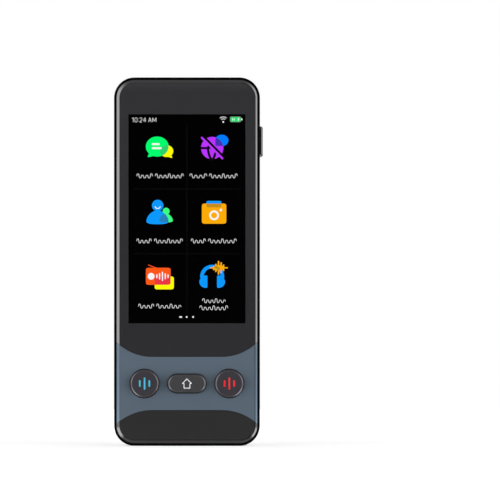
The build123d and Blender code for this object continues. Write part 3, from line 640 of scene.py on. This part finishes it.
def mesh_material():
    """Fine dust mesh: a woven lattice of bright threads over dark holes."""
    material, skin = shader("dust mesh", Roughness=0.8)
    thread = ramp(lattice(skin, MESH_PITCH), 0.0, 1.0)
    fill(skin, Base_Color=blend(thread, linear(4, 4, 5), linear(34, 34, 36)))
    bump(skin, thread, 0.4, RELIEF)
    return material


print("tracks", TRACK_PITCH / MM, "mm apart, strips", STRIP_PITCH / MM, "mm apart")

# %% [markdown]
# ## One finish for each slot
#
# Every piece names a material slot, so one loop hands out the finishes from a table. The home
# button shares its slot with the talk buttons but is a shade lighter.

# %% Finishes
FINISHES = {
    "black_shell": plastic("black shell", (4, 4, 5), 0.5, 0.2, Specular_IOR_Level=0.05),
    "screen_glass": glass,
    "slate_panel": slate,
    "chin_plastic": chin,
    "button_plastic": caps,
    "silver_frame": metal("silver frame", (238, 238, 240), 0.2, 0.04, 0.05),
    "rear_plastic": cover,
    "camera_rim": camera_rim,
    "camera_black": plastic("camera black", (17, 17, 18), 0.06, 0.0, 0.02),
    "lens_glass": plastic("lens", (16, 12, 34), 0.03, 0.0, 0.01, IOR=1.7, Coat_Weight=1.0,
                          Coat_Tint=linear(150, 120, 255)),
    "display_glass": plastic("display", (6, 6, 8), 0.05, 0.0, 0.01),
    "light_guide": plastic("light guide", (236, 240, 246), 0.4, 0.05),
    "pressed_steel": metal("pressed steel", (190, 192, 196), 0.32),
    "board_green": board_material(),
    "chip_black": plastic("chip", (30, 30, 32), 0.6, 0.6),
    "copper_film": film_material(),
    "cell_foil": foil_material(),
    "tape_black": plastic("tape", (24, 24, 25), 0.8),
    "foam_black": plastic("foam", (26, 26, 27), 0.95, 1.0),
    "speaker_black": plastic("speaker", (26, 26, 28), 0.55, 0.4),
    "magnet_steel": metal("magnet", (184, 184, 186), 0.3),
    "coil_copper": metal("coil", (208, 130, 78), 0.35),
    "mesh_fabric": mesh_material(),
    "socket_steel": metal("socket", (198, 198, 202), 0.22),
    "screw_steel": metal("screws", (120, 120, 124), 0.35),
    "key_metal": metal("power key", (160, 160, 162), 0.14, 0.03, 0.05),
}

for part in frame["record"]["subparts"]:
    piece = nodes[part["node"]]
    piece.data.materials.clear()
    piece.data.materials.append(FINISHES[part["material_slot"]])
nodes["home_button"].data.materials[0] = home_cap
print(len(FINISHES), "finishes on", len(nodes), "pieces")

# %% [markdown]
# ## Marks on the screen
#
# What the screen and the caps show is printed or lit, so each mark is a very thin closed body
# that lies on its surface. Two shapes are enough. A **pad** grows from its middle out to an
# outline, and a **stroke** carries a narrow round-topped profile along a path. Both are grids
# of points that numpy works out at once. Their heights are in millimetres.

# %% Pads and strokes
MARK_HEIGHT = 0.03
LAYER = 0.01
AROUND = 72
FINE = 240
ACROSS = 8


def full_turn(steps):
    """Even angles round a circle, without the last, which is the first again."""
    return np.linspace(0, 2 * math.pi, steps, endpoint=False)


def pad(middle, reach, layer=0, around=AROUND):
    """Grid of a closed pad: middle + r(v) * reach(angle), at the height h(v).

    r and h follow the curve r^6 + h^6 = 1, so the top is flat and its edge is round, and the
    last column comes back to the middle along the underside.
    """
    turn = full_turn(around)
    slide = np.linspace(0, math.pi / 2, ACROSS)
    out = np.append(np.sin(slide) ** (1 / 3), 0.0)
    up = np.append(np.cos(slide) ** (1 / 3), 0.0)
    rays = reach(turn)[:, None] * out
    x = middle[0] + rays * np.cos(turn)[:, None]
    z = middle[1] + rays * np.sin(turn)[:, None]
    height = np.broadcast_to(up * MARK_HEIGHT + layer * LAYER, x.shape)
    return np.stack([x, height, z], axis=-1), True


def stroke(path, width, layer=0, closed=False):
    """Grid of a stroke: path(s) + side(s) * w(s) * cos(a), h(s) * max(sin(a), 0)^(1/3) high.

    side is the path's direction turned by a right angle. Near an open end w and h follow a
    half circle, so strokes end round.
    """
    path = np.asarray(path, float)
    ahead = np.roll(path, -1, 0) - np.roll(path, 1, 0) if closed else np.gradient(path, axis=0)
    ahead /= np.linalg.norm(ahead, axis=1, keepdims=True)
    side = np.stack([-ahead[:, 1], ahead[:, 0]], axis=-1)
    steps = np.linalg.norm(np.diff(path, axis=0), axis=1)
    run = np.concatenate([[0.0], np.cumsum(steps)])
    to_end = np.full(len(path), width) if closed else np.minimum(run, run[-1] - run)
    share = np.clip(to_end / (width / 2), 0, 1)
    swell = np.sqrt(1 - (1 - share) ** 2)
    turn = full_turn(2 * ACROSS)
    spread = (swell * width / 2)[:, None, None] * np.cos(turn)[:, None]
    flat = path[:, None, :] + spread * side[:, None, :]
    height = MARK_HEIGHT * swell[:, None] * np.maximum(np.sin(turn), 0) ** (1 / 3)
    points = np.stack([flat[..., 0], height + layer * LAYER, flat[..., 1]], axis=-1)
    return np.concatenate([points, points[:, :1]], axis=1), closed


print("marks are", MARK_HEIGHT, "mm high")

# %% [markdown]
# ## Outlines
#
# A pad's outline is the distance from its middle at each angle. An ellipse and a box with
# round corners are both superellipses, here called ovals, and the power sets how square they
# are. Where two shapes overlap, the shared region's distance is the nearest edge.

# %% Outlines
LONGEST_REACH = 10
HALVINGS = 30


def oval(half_width, half_height, power=2.0):
    """(|cos / half width|^power + |sin / half height|^power) ^ (-1 / power)."""
    def reach(turn):
        x = np.abs(np.cos(turn) / half_width) ** power
        z = np.abs(np.sin(turn) / half_height) ** power
        return (x + z) ** (-1 / power)
    return reach


def with_tail(reach, angle, length, before, after):
    """Adds a pointed tail: length * max(1 - |turn - angle| / spread, 0) ^ 1.2.

    The spread is `before` on the side of smaller angles, and `after` on the other.
    """
    def tailed(turn):
        away = (turn - angle + math.pi) % (2 * math.pi) - math.pi
        share = np.where(away < 0, -away / before, away / after)
        return reach(turn) + length * np.clip(1 - share, 0, None) ** 1.2
    return tailed


def by_side(here, first, second):
    """One outline where here(angle) is positive, another elsewhere."""
    return lambda turn: np.where(here(turn) > 0, first(turn), second(turn))


def dome(half_width, rise, drop):
    """Sloping shoulders: above, a power of 1.75, and below, a flat base."""
    return by_side(np.sin, oval(half_width, rise, 1.75), oval(half_width, drop, 2.6))


def shared(point, *shapes):
    """Distance from a point inside several (middle, outline) shapes to the nearest edge.

    Along each ray the span from 0 to the longest reach is halved again and again, and keeps
    the edge inside it.
    """
    def reach(turn):
        low, high = np.zeros_like(turn), np.full_like(turn, LONGEST_REACH)
        for _ in range(HALVINGS):
            half = (low + high) / 2
            inside = np.full(turn.shape, True)
            for middle, outline in shapes:
                x = point[0] + half * np.cos(turn) - middle[0]
                z = point[1] + half * np.sin(turn) - middle[1]
                inside &= np.hypot(x, z) < outline(np.arctan2(z, x))
            low, high = np.where(inside, half, low), np.where(inside, high, half)
        return low
    return reach


print("outlines: oval, tail, dome, shared")

# %% [markdown]
# ## Paths
#
# A stroke's path is a row of points. Round ends need many of them, so they crowd at its ends,
# by a cosine of the step.

# %% Paths
PATH_STEPS = 64


def crowded(steps):
    """Shares from 0 to 1 that crowd at both ends: (1 - cos(angle)) / 2."""
    return (1 - np.cos(np.linspace(0, math.pi, steps))) / 2


def circle(middle, radius, turn):
    """Places on a circle at the angles: middle + radius * (cos, sin)."""
    return np.stack([middle[0] + radius * np.cos(turn), middle[1] + radius * np.sin(turn)], -1)


def line(start, end):
    """Straight path: (1 - s) start + s end."""
    share = crowded(PATH_STEPS // 2)
    return np.outer(1 - share, start) + np.outer(share, end)


def arc(middle, radius, first, last, steps=PATH_STEPS):
    """Path on a circle between two angles in degrees."""
    first, last = math.radians(first), math.radians(last)
    return circle(middle, radius, first + (last - first) * crowded(steps))


def curve(start, pull, end):
    """Path (1 - s)^2 start + 2s (1 - s) pull + s^2 end."""
    share = crowded(PATH_STEPS // 2)
    return (np.outer((1 - share) ** 2, start) + np.outer(2 * share * (1 - share), pull)
            + np.outer(share ** 2, end))


def polyline(corners, steps):
    """Even steps along straight lines from corner to corner."""
    corners = np.asarray(corners, float)
    run = np.concatenate([[0], np.cumsum(np.linalg.norm(np.diff(corners, axis=0), axis=1))])
    places = np.linspace(0, run[-1], steps)
    return np.stack([np.interp(places, run, corners[:, axis]) for axis in (0, 1)], axis=-1)


print("paths: circle, line, arc, curve, polyline")

# %% [markdown]
# ## Light from the display
#
# Each mark on the screen gives off its own colour. The display is a matrix of pixels with
# thin dark lanes between them, so the colour dips a little along a fine lattice. The surface
# keeps the glass's gloss, so reflections run on across a mark.

# %% Lit and printed materials
PIXEL_PITCH = 37.4 * MM / 480


def pixel_group():
    """Colour dimmed along the lanes: times 1 - depth where either sine is near its top."""
    inputs = {"Colour": (1.0, 1.0, 1.0, 1.0), "Lane depth": 0.08}
    source, target = group("pixel lattice", inputs, "Colour")
    lane = ramp(lattice(target, PIXEL_PITCH), 0.6, 1.0)
    level = maths("SUBTRACT", 1.0, times(lane, source["Lane depth"]))
    fill(target, Colour=scaled(source["Colour"], level))
    return target.id_data


PIXELS = pixel_group()


def lit(name, *levels):
    """A colour that the screen shows."""
    material, skin = shader("lit " + name, IOR=1.6, Roughness=0.1, Base_Color=SCREEN_BLACK,
                            Emission_Strength=1.0)
    pixels = add(skin, "Group", node_tree=PIXELS)
    fill(pixels, Colour=linear(*levels))
    fill(skin, Emission_Color=pixels.outputs["Colour"])
    return material


def ink(name, *levels):
    """Printed ink with a low gloss."""
    return plastic(name, levels, 0.35, 0.1)


WHITE = lit("white", 250, 250, 250)
DARK = lit("black", 0, 0, 0)
CAPTION = lit("caption", 245, 245, 247)
CELL_RING = lit("charge outline", 112, 104, 108)
GREEN = lit("green", 0, 255, 110)
YELLOW = lit("yellow", 255, 255, 0)
MIXED_GREEN = lit("green over yellow", 46, 210, 110)
PURPLE = lit("purple", 186, 52, 255)
BLUE = lit("blue", 0, 124, 255)
MIXED_PURPLE = lit("purple over blue", 70, 50, 182)
SKY = lit("sky", 10, 154, 255)
MINT = lit("mint", 58, 255, 130)
MIXED_SKY = lit("sky over mint", 40, 130, 190)
ORANGE = lit("orange", 255, 174, 4)
MIXED_ORANGE = lit("orange over sky", 200, 142, 32)
OLIVE = lit("burst over sky", 196, 144, 24)
RED_ORANGE = lit("red orange", 255, 88, 24)
MIXED_RED = lit("red over yellow", 238, 56, 68)
CELL_GREEN = lit("charge", 24, 226, 112)
print("screen colours ready")

# %% [markdown]
# ## Putting marks together
#
# `draw` turns grids and their materials into one object. `solid` merges the doubled points at
# the poles and seams and makes the normals point outwards.

# %% Draw
SINK = 0.004 * MM


def quads_of(grid, closed, first=0):
    """Corner numbers of a grid's cells, where closed joins the last row to the first."""
    rows, columns = grid.shape[:2]
    index = first + np.arange(rows * columns).reshape(rows, columns)
    here = index if closed else index[:-1]
    there = np.roll(index, -1, axis=0) if closed else index[1:]
    cells = np.stack([here[:, :-1], there[:, :-1], there[:, 1:], here[:, 1:]], axis=-1)
    return cells.reshape(-1, 4)


def solid(name, vertices, faces, materials, slots=0):
    """One object, its doubled points merged and its faces pointing outwards."""
    mesh = bpy.data.meshes.new(name)
    mesh.from_pydata(vertices, [], faces)
    for material in materials:
        mesh.materials.append(material)
    slots = np.broadcast_to(np.int32(slots), len(faces))
    mesh.polygons.foreach_set("material_index", slots)
    work = bmesh.new()
    work.from_mesh(mesh)
    bmesh.ops.remove_doubles(work, verts=work.verts, dist=1e-7)
    bmesh.ops.recalc_face_normals(work, faces=work.faces)
    work.to_mesh(mesh)
    work.free()
    piece = bpy.data.objects.new(name, mesh)
    bpy.context.collection.objects.link(piece)
    return piece


def draw(name, shapes, face_y, body, middle=(0.0, 0.0), step=MM):
    """One object from (grid, closed), material pairs, lying on the face at face_y.

    A grid's x and z are in steps from the middle, its heights in millimetres outwards.
    """
    shapes = list(shapes)
    materials = list(dict.fromkeys(material for _, material in shapes))
    corner = (middle[0], face_y + SINK, middle[1])
    vertices, faces, slots = [], [], []
    for (grid, closed), material in shapes:
        faces.append(quads_of(grid, closed, sum(map(len, vertices))))
        vertices.append(grid.reshape(-1, 3) * (step, -MM, step) + corner)
        slots.append(np.full(len(faces[-1]), materials.index(material)))
    piece = solid(name, np.concatenate(vertices), np.concatenate(faces), materials,
                  np.concatenate(slots))
    piece.data.shade_smooth()
    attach(piece, body)
    print(name, len(piece.data.polygons), "faces")
    return piece


def on_screen(name, shapes, x=0.0, z=0.0, step=MM):
    """Marks on the cover glass, round a place x, z in metres."""
    return draw(name, shapes, GLASS_FACE_Y, "casing", (x, z), step)


# %% [markdown]
# ## Six symbols
#
# Each symbol is a common sign in two bright colours, with a third where its shapes overlap.
# Places and sizes are in steps of a grid of just under a millimetre, from the symbol's middle,
# and a higher layer lies over a lower one.

# %% Symbol helpers
GRID = 0.985 * MM
MIDDLE = (0.0, 0.0)


def symbol(name, x, z, *shapes):
    """Shapes in grid steps from a place x, z in millimetres."""
    return on_screen(name, shapes, x * MM, z * MM, GRID)


def dot(place, radius, colour, layer=0):
    """A round pad."""
    return pad(place, oval(radius, radius), layer), colour


def bar(start, end, width, layer, colour):
    """A straight stroke."""
    return stroke(line(start, end), width, layer), colour


def overlap(inside, colour, first, second, around=FINE):
    """The region that two (middle, outline) shapes share around a place inside both."""
    return pad(inside, shared(inside, first, second), 2, around), colour


print("grid step", GRID / MM, "mm")

# %% Speech bubbles, and two lines of speech
bubble = (MIDDLE, oval(3.67, 3.24))
reply = ((3.03, -1.45), oval(2.15, 1.93))
symbol("chat_symbol", -9.45, 95.19,
       (pad(reply[0], with_tail(reply[1], -0.87, 0.85, 0.45, 0.17), 0, FINE), YELLOW),
       (pad(MIDDLE, with_tail(bubble[1], -2.32, 1.2, 0.13, 0.36), 1, FINE), GREEN),
       overlap((2.2, -1.2), MIXED_GREEN, bubble, reply, AROUND),
       bar((-1.77, 0.79), (0.77, 0.79), 0.6, 4, WHITE),
       bar((-1.77, -0.52), (1.45, -0.52), 0.6, 4, WHITE))

# %% A globe with a slash and a message, for work without a network
globe = (MIDDLE, oval(3.6, 3.6))
message = ((3.1, 2.45), by_side(lambda turn: np.minimum(-np.cos(turn), -np.sin(turn)),
                                oval(2.12, 1.8, 14.0), oval(2.12, 1.83)))
meridians = (curve((-1.42, 0.3), (-1.3, -2.2), (-0.2, -3.9)),
             curve((1.1, -1.3), (0.85, -2.7), (0.1, -3.9)))
symbol("globe_symbol", 8.03, 94.74,
       (pad(*message, 0, FINE), BLUE),
       (pad(*globe, 1), PURPLE),
       overlap((2.2, 1.7), MIXED_PURPLE, globe, message),
       bar((-3.9, -0.04), (-0.9, -0.04), 0.74, 3, DARK),
       bar((-1.55, 0.62), (-0.5, -0.2), 0.62, 3, DARK),
       bar((-3.0, 3.95), (4.0, -3.15), 0.72, 4, DARK),
       bar((-3.56, 3.52), (3.48, -3.56), 0.62, 5, PURPLE),
       *((stroke(meridian, 0.8, 3), DARK) for meridian in meridians))

# %% Two people, one in front of the other
front = ((-0.05, -5.05), dome(3.57, 3.5, 1.0))
behind = ((2.7, -4.86), dome(2.2, 2.25, 0.6))
symbol("people_symbol", -9.32, 76.46,
       dot((2.74, -1.85), 1.13, MINT),
       (pad(*behind, 0, FINE), MINT),
       dot(MIDDLE, 1.84, SKY, 1),
       (pad(*front, 1, FINE), SKY),
       overlap((2.0, -4.9), MIXED_SKY, front, behind, AROUND),
       (stroke(arc((0, -0.12), 0.86, 190, 350), 0.27, 4), WHITE))

# %% A camera with a tab behind its top edge
tab = ((-0.06, 3.06), oval(2.43, 1.06, 7.0))
body = (MIDDLE, oval(3.95, 3.26, 12.0))
ring = circle((0, -0.54), 1.27, full_turn(PATH_STEPS))
symbol("camera_symbol", 8.63, 73.87,
       (pad(*tab), SKY),
       (pad(*body, 1), ORANGE),
       overlap((-0.06, 2.7), MIXED_ORANGE, tab, body),
       (stroke(ring, 0.6, 4, closed=True), WHITE),
       dot((2.16, 1.16), 0.42, WHITE, 4))

# %% A radio over a card, with a sound wave
card = ((1.93, -2.14), oval(3.11, 2.09, 9.0))
radio = (MIDDLE, oval(3.99, 2.76, 12.0))
sound = ((-0.46, 0.65), (0.42, 1.05), (1.35, 1.5), (2.27, 0.965), (3.16, 0.575))
symbol("radio_symbol", -9.12, 53.94,
       (pad(*card), YELLOW),
       (pad(*radio, 1), RED_ORANGE),
       overlap((1.6, -1.2), MIXED_RED, card, radio),
       bar((-3.3, 3.68), (-0.39, 2.6), 0.24, 0, RED_ORANGE),
       dot((-2.31, 0.0), 1.1, WHITE, 4),
       *(bar((x, -half), (x, half), 0.4, 4, WHITE) for x, half in sound))

# %% Headphones with a burst of sound
BAND_RADIUS = 3.32
burst = ((0.5, 2.1, 3.5), (1.19, 1.52, 4.22), (2.03, 0.7, 5.15), (2.9, 1.2, 4.72),
         (3.67, 1.8, 4.0))


def ear_cups():
    """A cup and its pad on each side, round outside and flat inside."""
    for side in (-1, 1):
        cup = by_side(lambda turn: side * np.cos(turn), oval(1.96, 1.87), oval(0.62, 1.9, 7.0))
        yield pad((side * 2.17, -1.66), cup, 1, FINE), SKY
        yield pad((side * 2.28, -0.79), oval(0.73, 1.2, 8.0), 1), SKY


symbol("headphone_symbol", 8.03, 53.78,
       (stroke(arc(MIDDLE, BAND_RADIUS, 190, -10), 1.14), SKY),
       *ear_cups(),
       (pad((2.1, 2.9), oval(1.8, 0.85), 2), ORANGE),
       bar((-0.75, 2.9), (5.05, 2.9), 0.42, 2, ORANGE),
       *(bar((x, foot), (x, head), 0.48, 2, ORANGE) for x, foot, head in burst),
       (stroke(arc(MIDDLE, BAND_RADIUS, 80, 42), 1.0, 3), OLIVE))

# %% [markdown]
# ## Captions without words
#
# A line of small type would stand under each symbol. Here each word is one waving line, and
# its crests, some of them tall, stand for letters. So the page reads the same from afar and
# carries no lettering.

# %% Captions
CREST_PITCH = 1.3
SMALL_CREST = 0.85
TALL_CREST = 1.28
TALL_EVERY = 3
WAVE_LINE = 0.15
WORD_MARGIN = 0.12
HALF_CREST = 0.27
STEPS_PER_CREST = 30
SQUARENESS = 2.2


def waving(start, end, base):
    """Path along a word, its height crest * (1 + tanh(k cos) / tanh k) / 2, k the squareness."""
    crests = round((end - start) / CREST_PITCH)
    phase = np.linspace(-HALF_CREST, crests - 1 + HALF_CREST, crests * STEPS_PER_CREST)
    tall = np.round(phase).astype(int) % TALL_EVERY == 0
    crest = np.where(tall, TALL_CREST, SMALL_CREST)
    swing = np.tanh(SQUARENESS * np.cos(2 * math.pi * phase)) / math.tanh(SQUARENESS)
    x = np.linspace(start + WORD_MARGIN, end - WORD_MARGIN, len(phase))
    return np.stack([x, base + crest * (1 + swing) / 2], axis=-1)


CAPTIONS = {
    85.23: ((-16.1, -10.8), (-10.2, -1.0), (0.75, 6.45), (7.0, 16.15)),
    64.54: ((-16.1, -11.2), (-10.5, -1.3), (1.2, 6.05), (6.7, 15.85)),
    43.81: ((-15.55, -10.4), (-9.8, -1.75)),
    45.54: ((4.8, 12.4),),
    43.27: ((3.95, 13.1),),
}
on_screen("captions", [(stroke(waving(*span, base), WAVE_LINE), CAPTION)
                       for base, spans in CAPTIONS.items() for span in spans])

# %% [markdown]
# ## Status line and page marks
#
# The clock is drawn with strokes too, each sign as one or two paths in a box one unit high.

# %% Clock
CLOCK_PLACE = (-17.45 * MM, SCREEN_HEAD - 1.72 * MM)
SIGN_HEIGHT = 1.45
SIGN_LINE = 0.12
SIGN_GAP = 0.24
SIGN_STEPS = 40
SIGNS = {
    "1": (0.34, [[(0.0, 0.78), (0.28, 1.0), (0.28, 0.0)]]),
    "0": (0.56, [[(0.28 + 0.28 * math.cos(turn), 0.5 + 0.5 * math.sin(turn))
                  for turn in np.linspace(0, 2 * math.pi, 25)]]),
    "2": (0.56, [[(0.02, 0.74), (0.1, 0.93), (0.28, 1.0), (0.46, 0.93), (0.53, 0.72),
                  (0.44, 0.48), (0.0, 0.0), (0.56, 0.0)]]),
    "4": (0.62, [[(0.44, 0.0), (0.44, 1.0), (0.0, 0.3), (0.62, 0.3)]]),
    ":": (0.04, [[(0.02, 0.15), (0.02, 0.22)], [(0.02, 0.72), (0.02, 0.79)]]),
    "A": (0.68, [[(0.0, 0.0), (0.34, 1.0), (0.68, 0.0)], [(0.13, 0.34), (0.55, 0.34)]]),
    "M": (0.8, [[(0.0, 0.0), (0.0, 1.0), (0.4, 0.2), (0.8, 1.0), (0.8, 0.0)]]),
    " ": (0.0, []),
}


def written(words):
    """Strokes for a row of signs to the right of the middle."""
    x = 0.0
    for sign in words:
        width, paths = SIGNS[sign]
        for path in paths:
            corners = (np.array(path) + (x, -0.5)) * SIGN_HEIGHT
            yield stroke(polyline(corners, SIGN_STEPS), SIGN_LINE), WHITE
        x += width + SIGN_GAP


on_screen("clock", written("10:24 AM"), *CLOCK_PLACE)

# %% Signal, charge and page marks
MM_IN_GRID = MM / GRID
MARK_LINE = 0.2 * MM_IN_GRID
BOLT = np.array([(0.16, 0.5), (-0.16, 0.02), (0.16, -0.02), (-0.14, -0.5)]) * MM_IN_GRID
PAGE_Z = SCREEN_FOOT + 1.95 * MM

symbol("signal_waves", 11.53, 103.03,
       dot(MIDDLE, 0.27, WHITE),
       *((stroke(arc(MIDDLE, radius * MM_IN_GRID, 132, 48, 24), MARK_LINE), WHITE)
         for radius in (0.98, 1.6)))

symbol("charge_mark", 15.45, 103.85,
       (pad(MIDDLE, oval(1.82, 0.94, 8.0)), CELL_RING),
       (pad((2.02, 0), oval(0.2, 0.34, 3.0)), WHITE),
       (pad(MIDDLE, oval(1.62, 0.77, 8.0), 1), CELL_GREEN),
       (stroke(polyline(BOLT + (0.92, 0), SIGN_STEPS), MARK_LINE, 2), WHITE),
       *(bar((x, -0.42), (x, 0.42), 0.2, 2, WHITE) for x in (-0.92, -0.42)))

on_screen("page_marks", [bar((-2.45, 0), (-1.55, 0), 0.46, 0, WHITE),
                         *((pad((x, 0), oval(0.26, 0.26, 3.0)), WHITE)
                           for x in (-0.08, 1.95))], 0.0, PAGE_Z)

# %% [markdown]
# ## Symbols on the caps
#
# The talk buttons carry three bars, blue on the left for one speaker and red on the right for
# the other. The middle button carries a house. Each print rides on its own button, so it moves
# when the button is pressed.

# %% Cap symbols
BARS = ((-1.52, 1.05), (0.0, 1.95), (1.52, 1.05))
BAR_WIDTH = 0.56
HOUSE_LINE = 0.28
HOUSE_STEPS = 160
ROOF = [(-1.52, -0.06), (0.0, 1.48), (1.52, -0.06)]
WALLS = [(-1.46, -0.02), (-0.94, -0.02), (-0.94, -1.48), (0.94, -1.48), (0.94, -0.02),
         (1.46, -0.02)]


def on_cap(node, body, mark, colour, grids):
    """Print on a button's cap, round its middle, in one colour."""
    shapes = [(grid, colour) for grid in grids]
    return draw(f"{node}_{mark}", shapes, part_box(node)[0].y, body,
                inner_box(node)[0])


bars = [stroke(line((x, -half), (x, half)), BAR_WIDTH) for x, half in BARS]
house = [stroke(polyline(part, HOUSE_STEPS), HOUSE_LINE) for part in (ROOF, WALLS)]
on_cap("left_talk_button", "left_talk", "bars", ink("blue ink", 78, 192, 224), bars)
on_cap("right_talk_button", "right_talk", "bars", ink("red ink", 253, 39, 53), bars)
on_cap("home_button", "home", "house", ink("white ink", 250, 250, 250), house)

# %% [markdown]
# ## Floor
#
# The floor is a pale matt disc. To the camera it also gives off a little light, so that it
# reaches white where the translator doesn't keep the studio's light off it. Further out the
# glow rises, and the disc ends in the white of the background with no edge. Gloss sees a
# darker floor, which keeps the lowest bevel dim, with a glow at the translator's left and
# right, which gives the rounded lower corners their bright line.

# %% Floor
FLOOR_RADIUS = 0.6
FLOOR_SIDES = 128
FLOOR_RINGS = 24
FLOOR_COLOUR = (0.8, 0.8, 0.8, 1.0)
MIRRORED_COLOUR = (0.27, 0.27, 0.27, 1.0)
FLOOR_GLOW_NEAR = 0.38
FLOOR_GLOW_FAR = 1.0
GLOW_START = 0.08
GLOW_END = 0.34
SIDE_GLOW = 1.05
SIDE_START = 22.0 * MM
SIDE_END = 26.0 * MM
SIDE_LIMIT = 50.0 * MM
SIDE_FADE = 105.0 * MM


def light_path(where, *kinds):
    """1 for rays of any of the kinds, 0 for others."""
    path = add(where, "LightPath")
    seen = 0.0
    for kind in kinds:
        seen = maths("MAXIMUM", seen, path.outputs[kind])
    return seen


def floor_material():
    """Matt, with a glow for the camera that grows with the distance, and one for mirrored rays.

    The mirrored glow begins beyond |x| = side start, so what faces ahead doesn't show it, and
    it fades between the side limit and the side fade.
    """
    material, skin = shader("floor", Roughness=0.9, Specular_IOR_Level=0.0,
                            Emission_Color=(1.0, 1.0, 1.0, 1.0))
    away = add(skin, "VectorMath", {0: place_on(skin)}, operation="LENGTH")
    away = away.outputs["Value"]
    glow = ramp(away, GLOW_START, GLOW_END, FLOOR_GLOW_NEAR, FLOOR_GLOW_FAR)
    across = maths("ABSOLUTE", axes(skin)["X"])
    beside = ramp(across, SIDE_START, SIDE_END, 0.0, SIDE_GLOW)
    close = ramp(away, SIDE_LIMIT, SIDE_FADE, 1.0, 0.0)
    in_mirror = light_path(skin, "Is Glossy Ray")
    mirrored = times(beside, close, in_mirror)
    direct = times(glow, light_path(skin, "Is Camera Ray"))
    fill(skin, Base_Color=blend(in_mirror, FLOOR_COLOUR, MIRRORED_COLOUR),
         Emission_Strength=maths("ADD", direct, mirrored))
    return material


turn = full_turn(FLOOR_SIDES)[:, None]
spread = np.linspace(0, FLOOR_RADIUS, FLOOR_RINGS)
disc = np.stack([np.cos(turn) * spread, np.sin(turn) * spread, 0 * turn * spread], axis=-1)
floor = solid("floor", disc.reshape(-1, 3), quads_of(disc, True), [floor_material()])
print("floor", 2 * FLOOR_RADIUS, "m wide")

# %% [markdown]
# ## Light
#
# Flat black gloss shows whatever stands in front of it, so the studio is dark straight ahead
# and straight behind, and the light comes from large soft sources on both sides. A bevel that
# is tilted by about 27 degrees mirrors what lies twice that angle away, where |y| of the
# direction is 0.6, and there the sources are brightest. They fade upwards, so the bevels'
# bright lines fade round the corners. Gloss sees a third of their strength, so matt and
# polished surfaces can be set apart. To the camera the world is plain white.

# %% World
FRONT_LIGHT = 3.4
BACK_LIGHT = 2.1
SIDE_LIGHT = 2.4
FRONT_TO_BACK = (-0.1, 0.1)
SIDE_TO_PEAK = (0.15, 0.5)
PEAK_TO_AHEAD = (0.68, 0.92)
LEVEL_TO_TOP = (0.3, 0.8)
TOP_SHARE = 0.14
AHEAD_LIGHT = 0.006
MIRROR_SHARE = 0.3


def studio_world():
    """Radiance = max(ahead, (side..peak by |y|) * (1..0 as |y| nears 1) * (1..top by z))."""
    world = bpy.data.worlds.new("studio")
    world.use_nodes = True
    background = world.node_tree.nodes["Background"]
    direction = add(background, "TexCoord").outputs["Generated"]
    parts = add(direction, "SeparateXYZ", {0: direction}).outputs
    depth = maths("ABSOLUTE", parts["Y"])
    behind = ramp(parts["Y"], *FRONT_TO_BACK, FRONT_LIGHT, BACK_LIGHT)
    peak = maths("SUBTRACT", behind, SIDE_LIGHT)
    sides = maths("MULTIPLY_ADD", ramp(depth, *SIDE_TO_PEAK), peak, SIDE_LIGHT)
    ahead = ramp(depth, *PEAK_TO_AHEAD, 1.0, 0.0)
    upward = ramp(parts["Z"], *LEVEL_TO_TOP, 1.0, TOP_SHARE)
    in_mirror = light_path(background, "Is Glossy Ray")
    share = maths("MULTIPLY_ADD", in_mirror, MIRROR_SHARE - 1, 1.0)
    light = maths("MAXIMUM", times(sides, ahead, upward, share), AHEAD_LIGHT)
    seen = light_path(background, "Is Camera Ray", "Is Transmission Ray")
    strength = maths("MAXIMUM", light, seen)
    white = maths("MINIMUM", strength, 1.0)
    level = add(seen, "Mix", {0: seen, 2: strength, 3: white}, data_type="FLOAT")
    fill(background, Strength=level.outputs[0], Color=(1.0, 1.0, 1.0, 1.0))
    bpy.context.scene.world = world


studio_world()
bpy.context.scene.view_settings.view_transform = "Standard"
print("world ready")
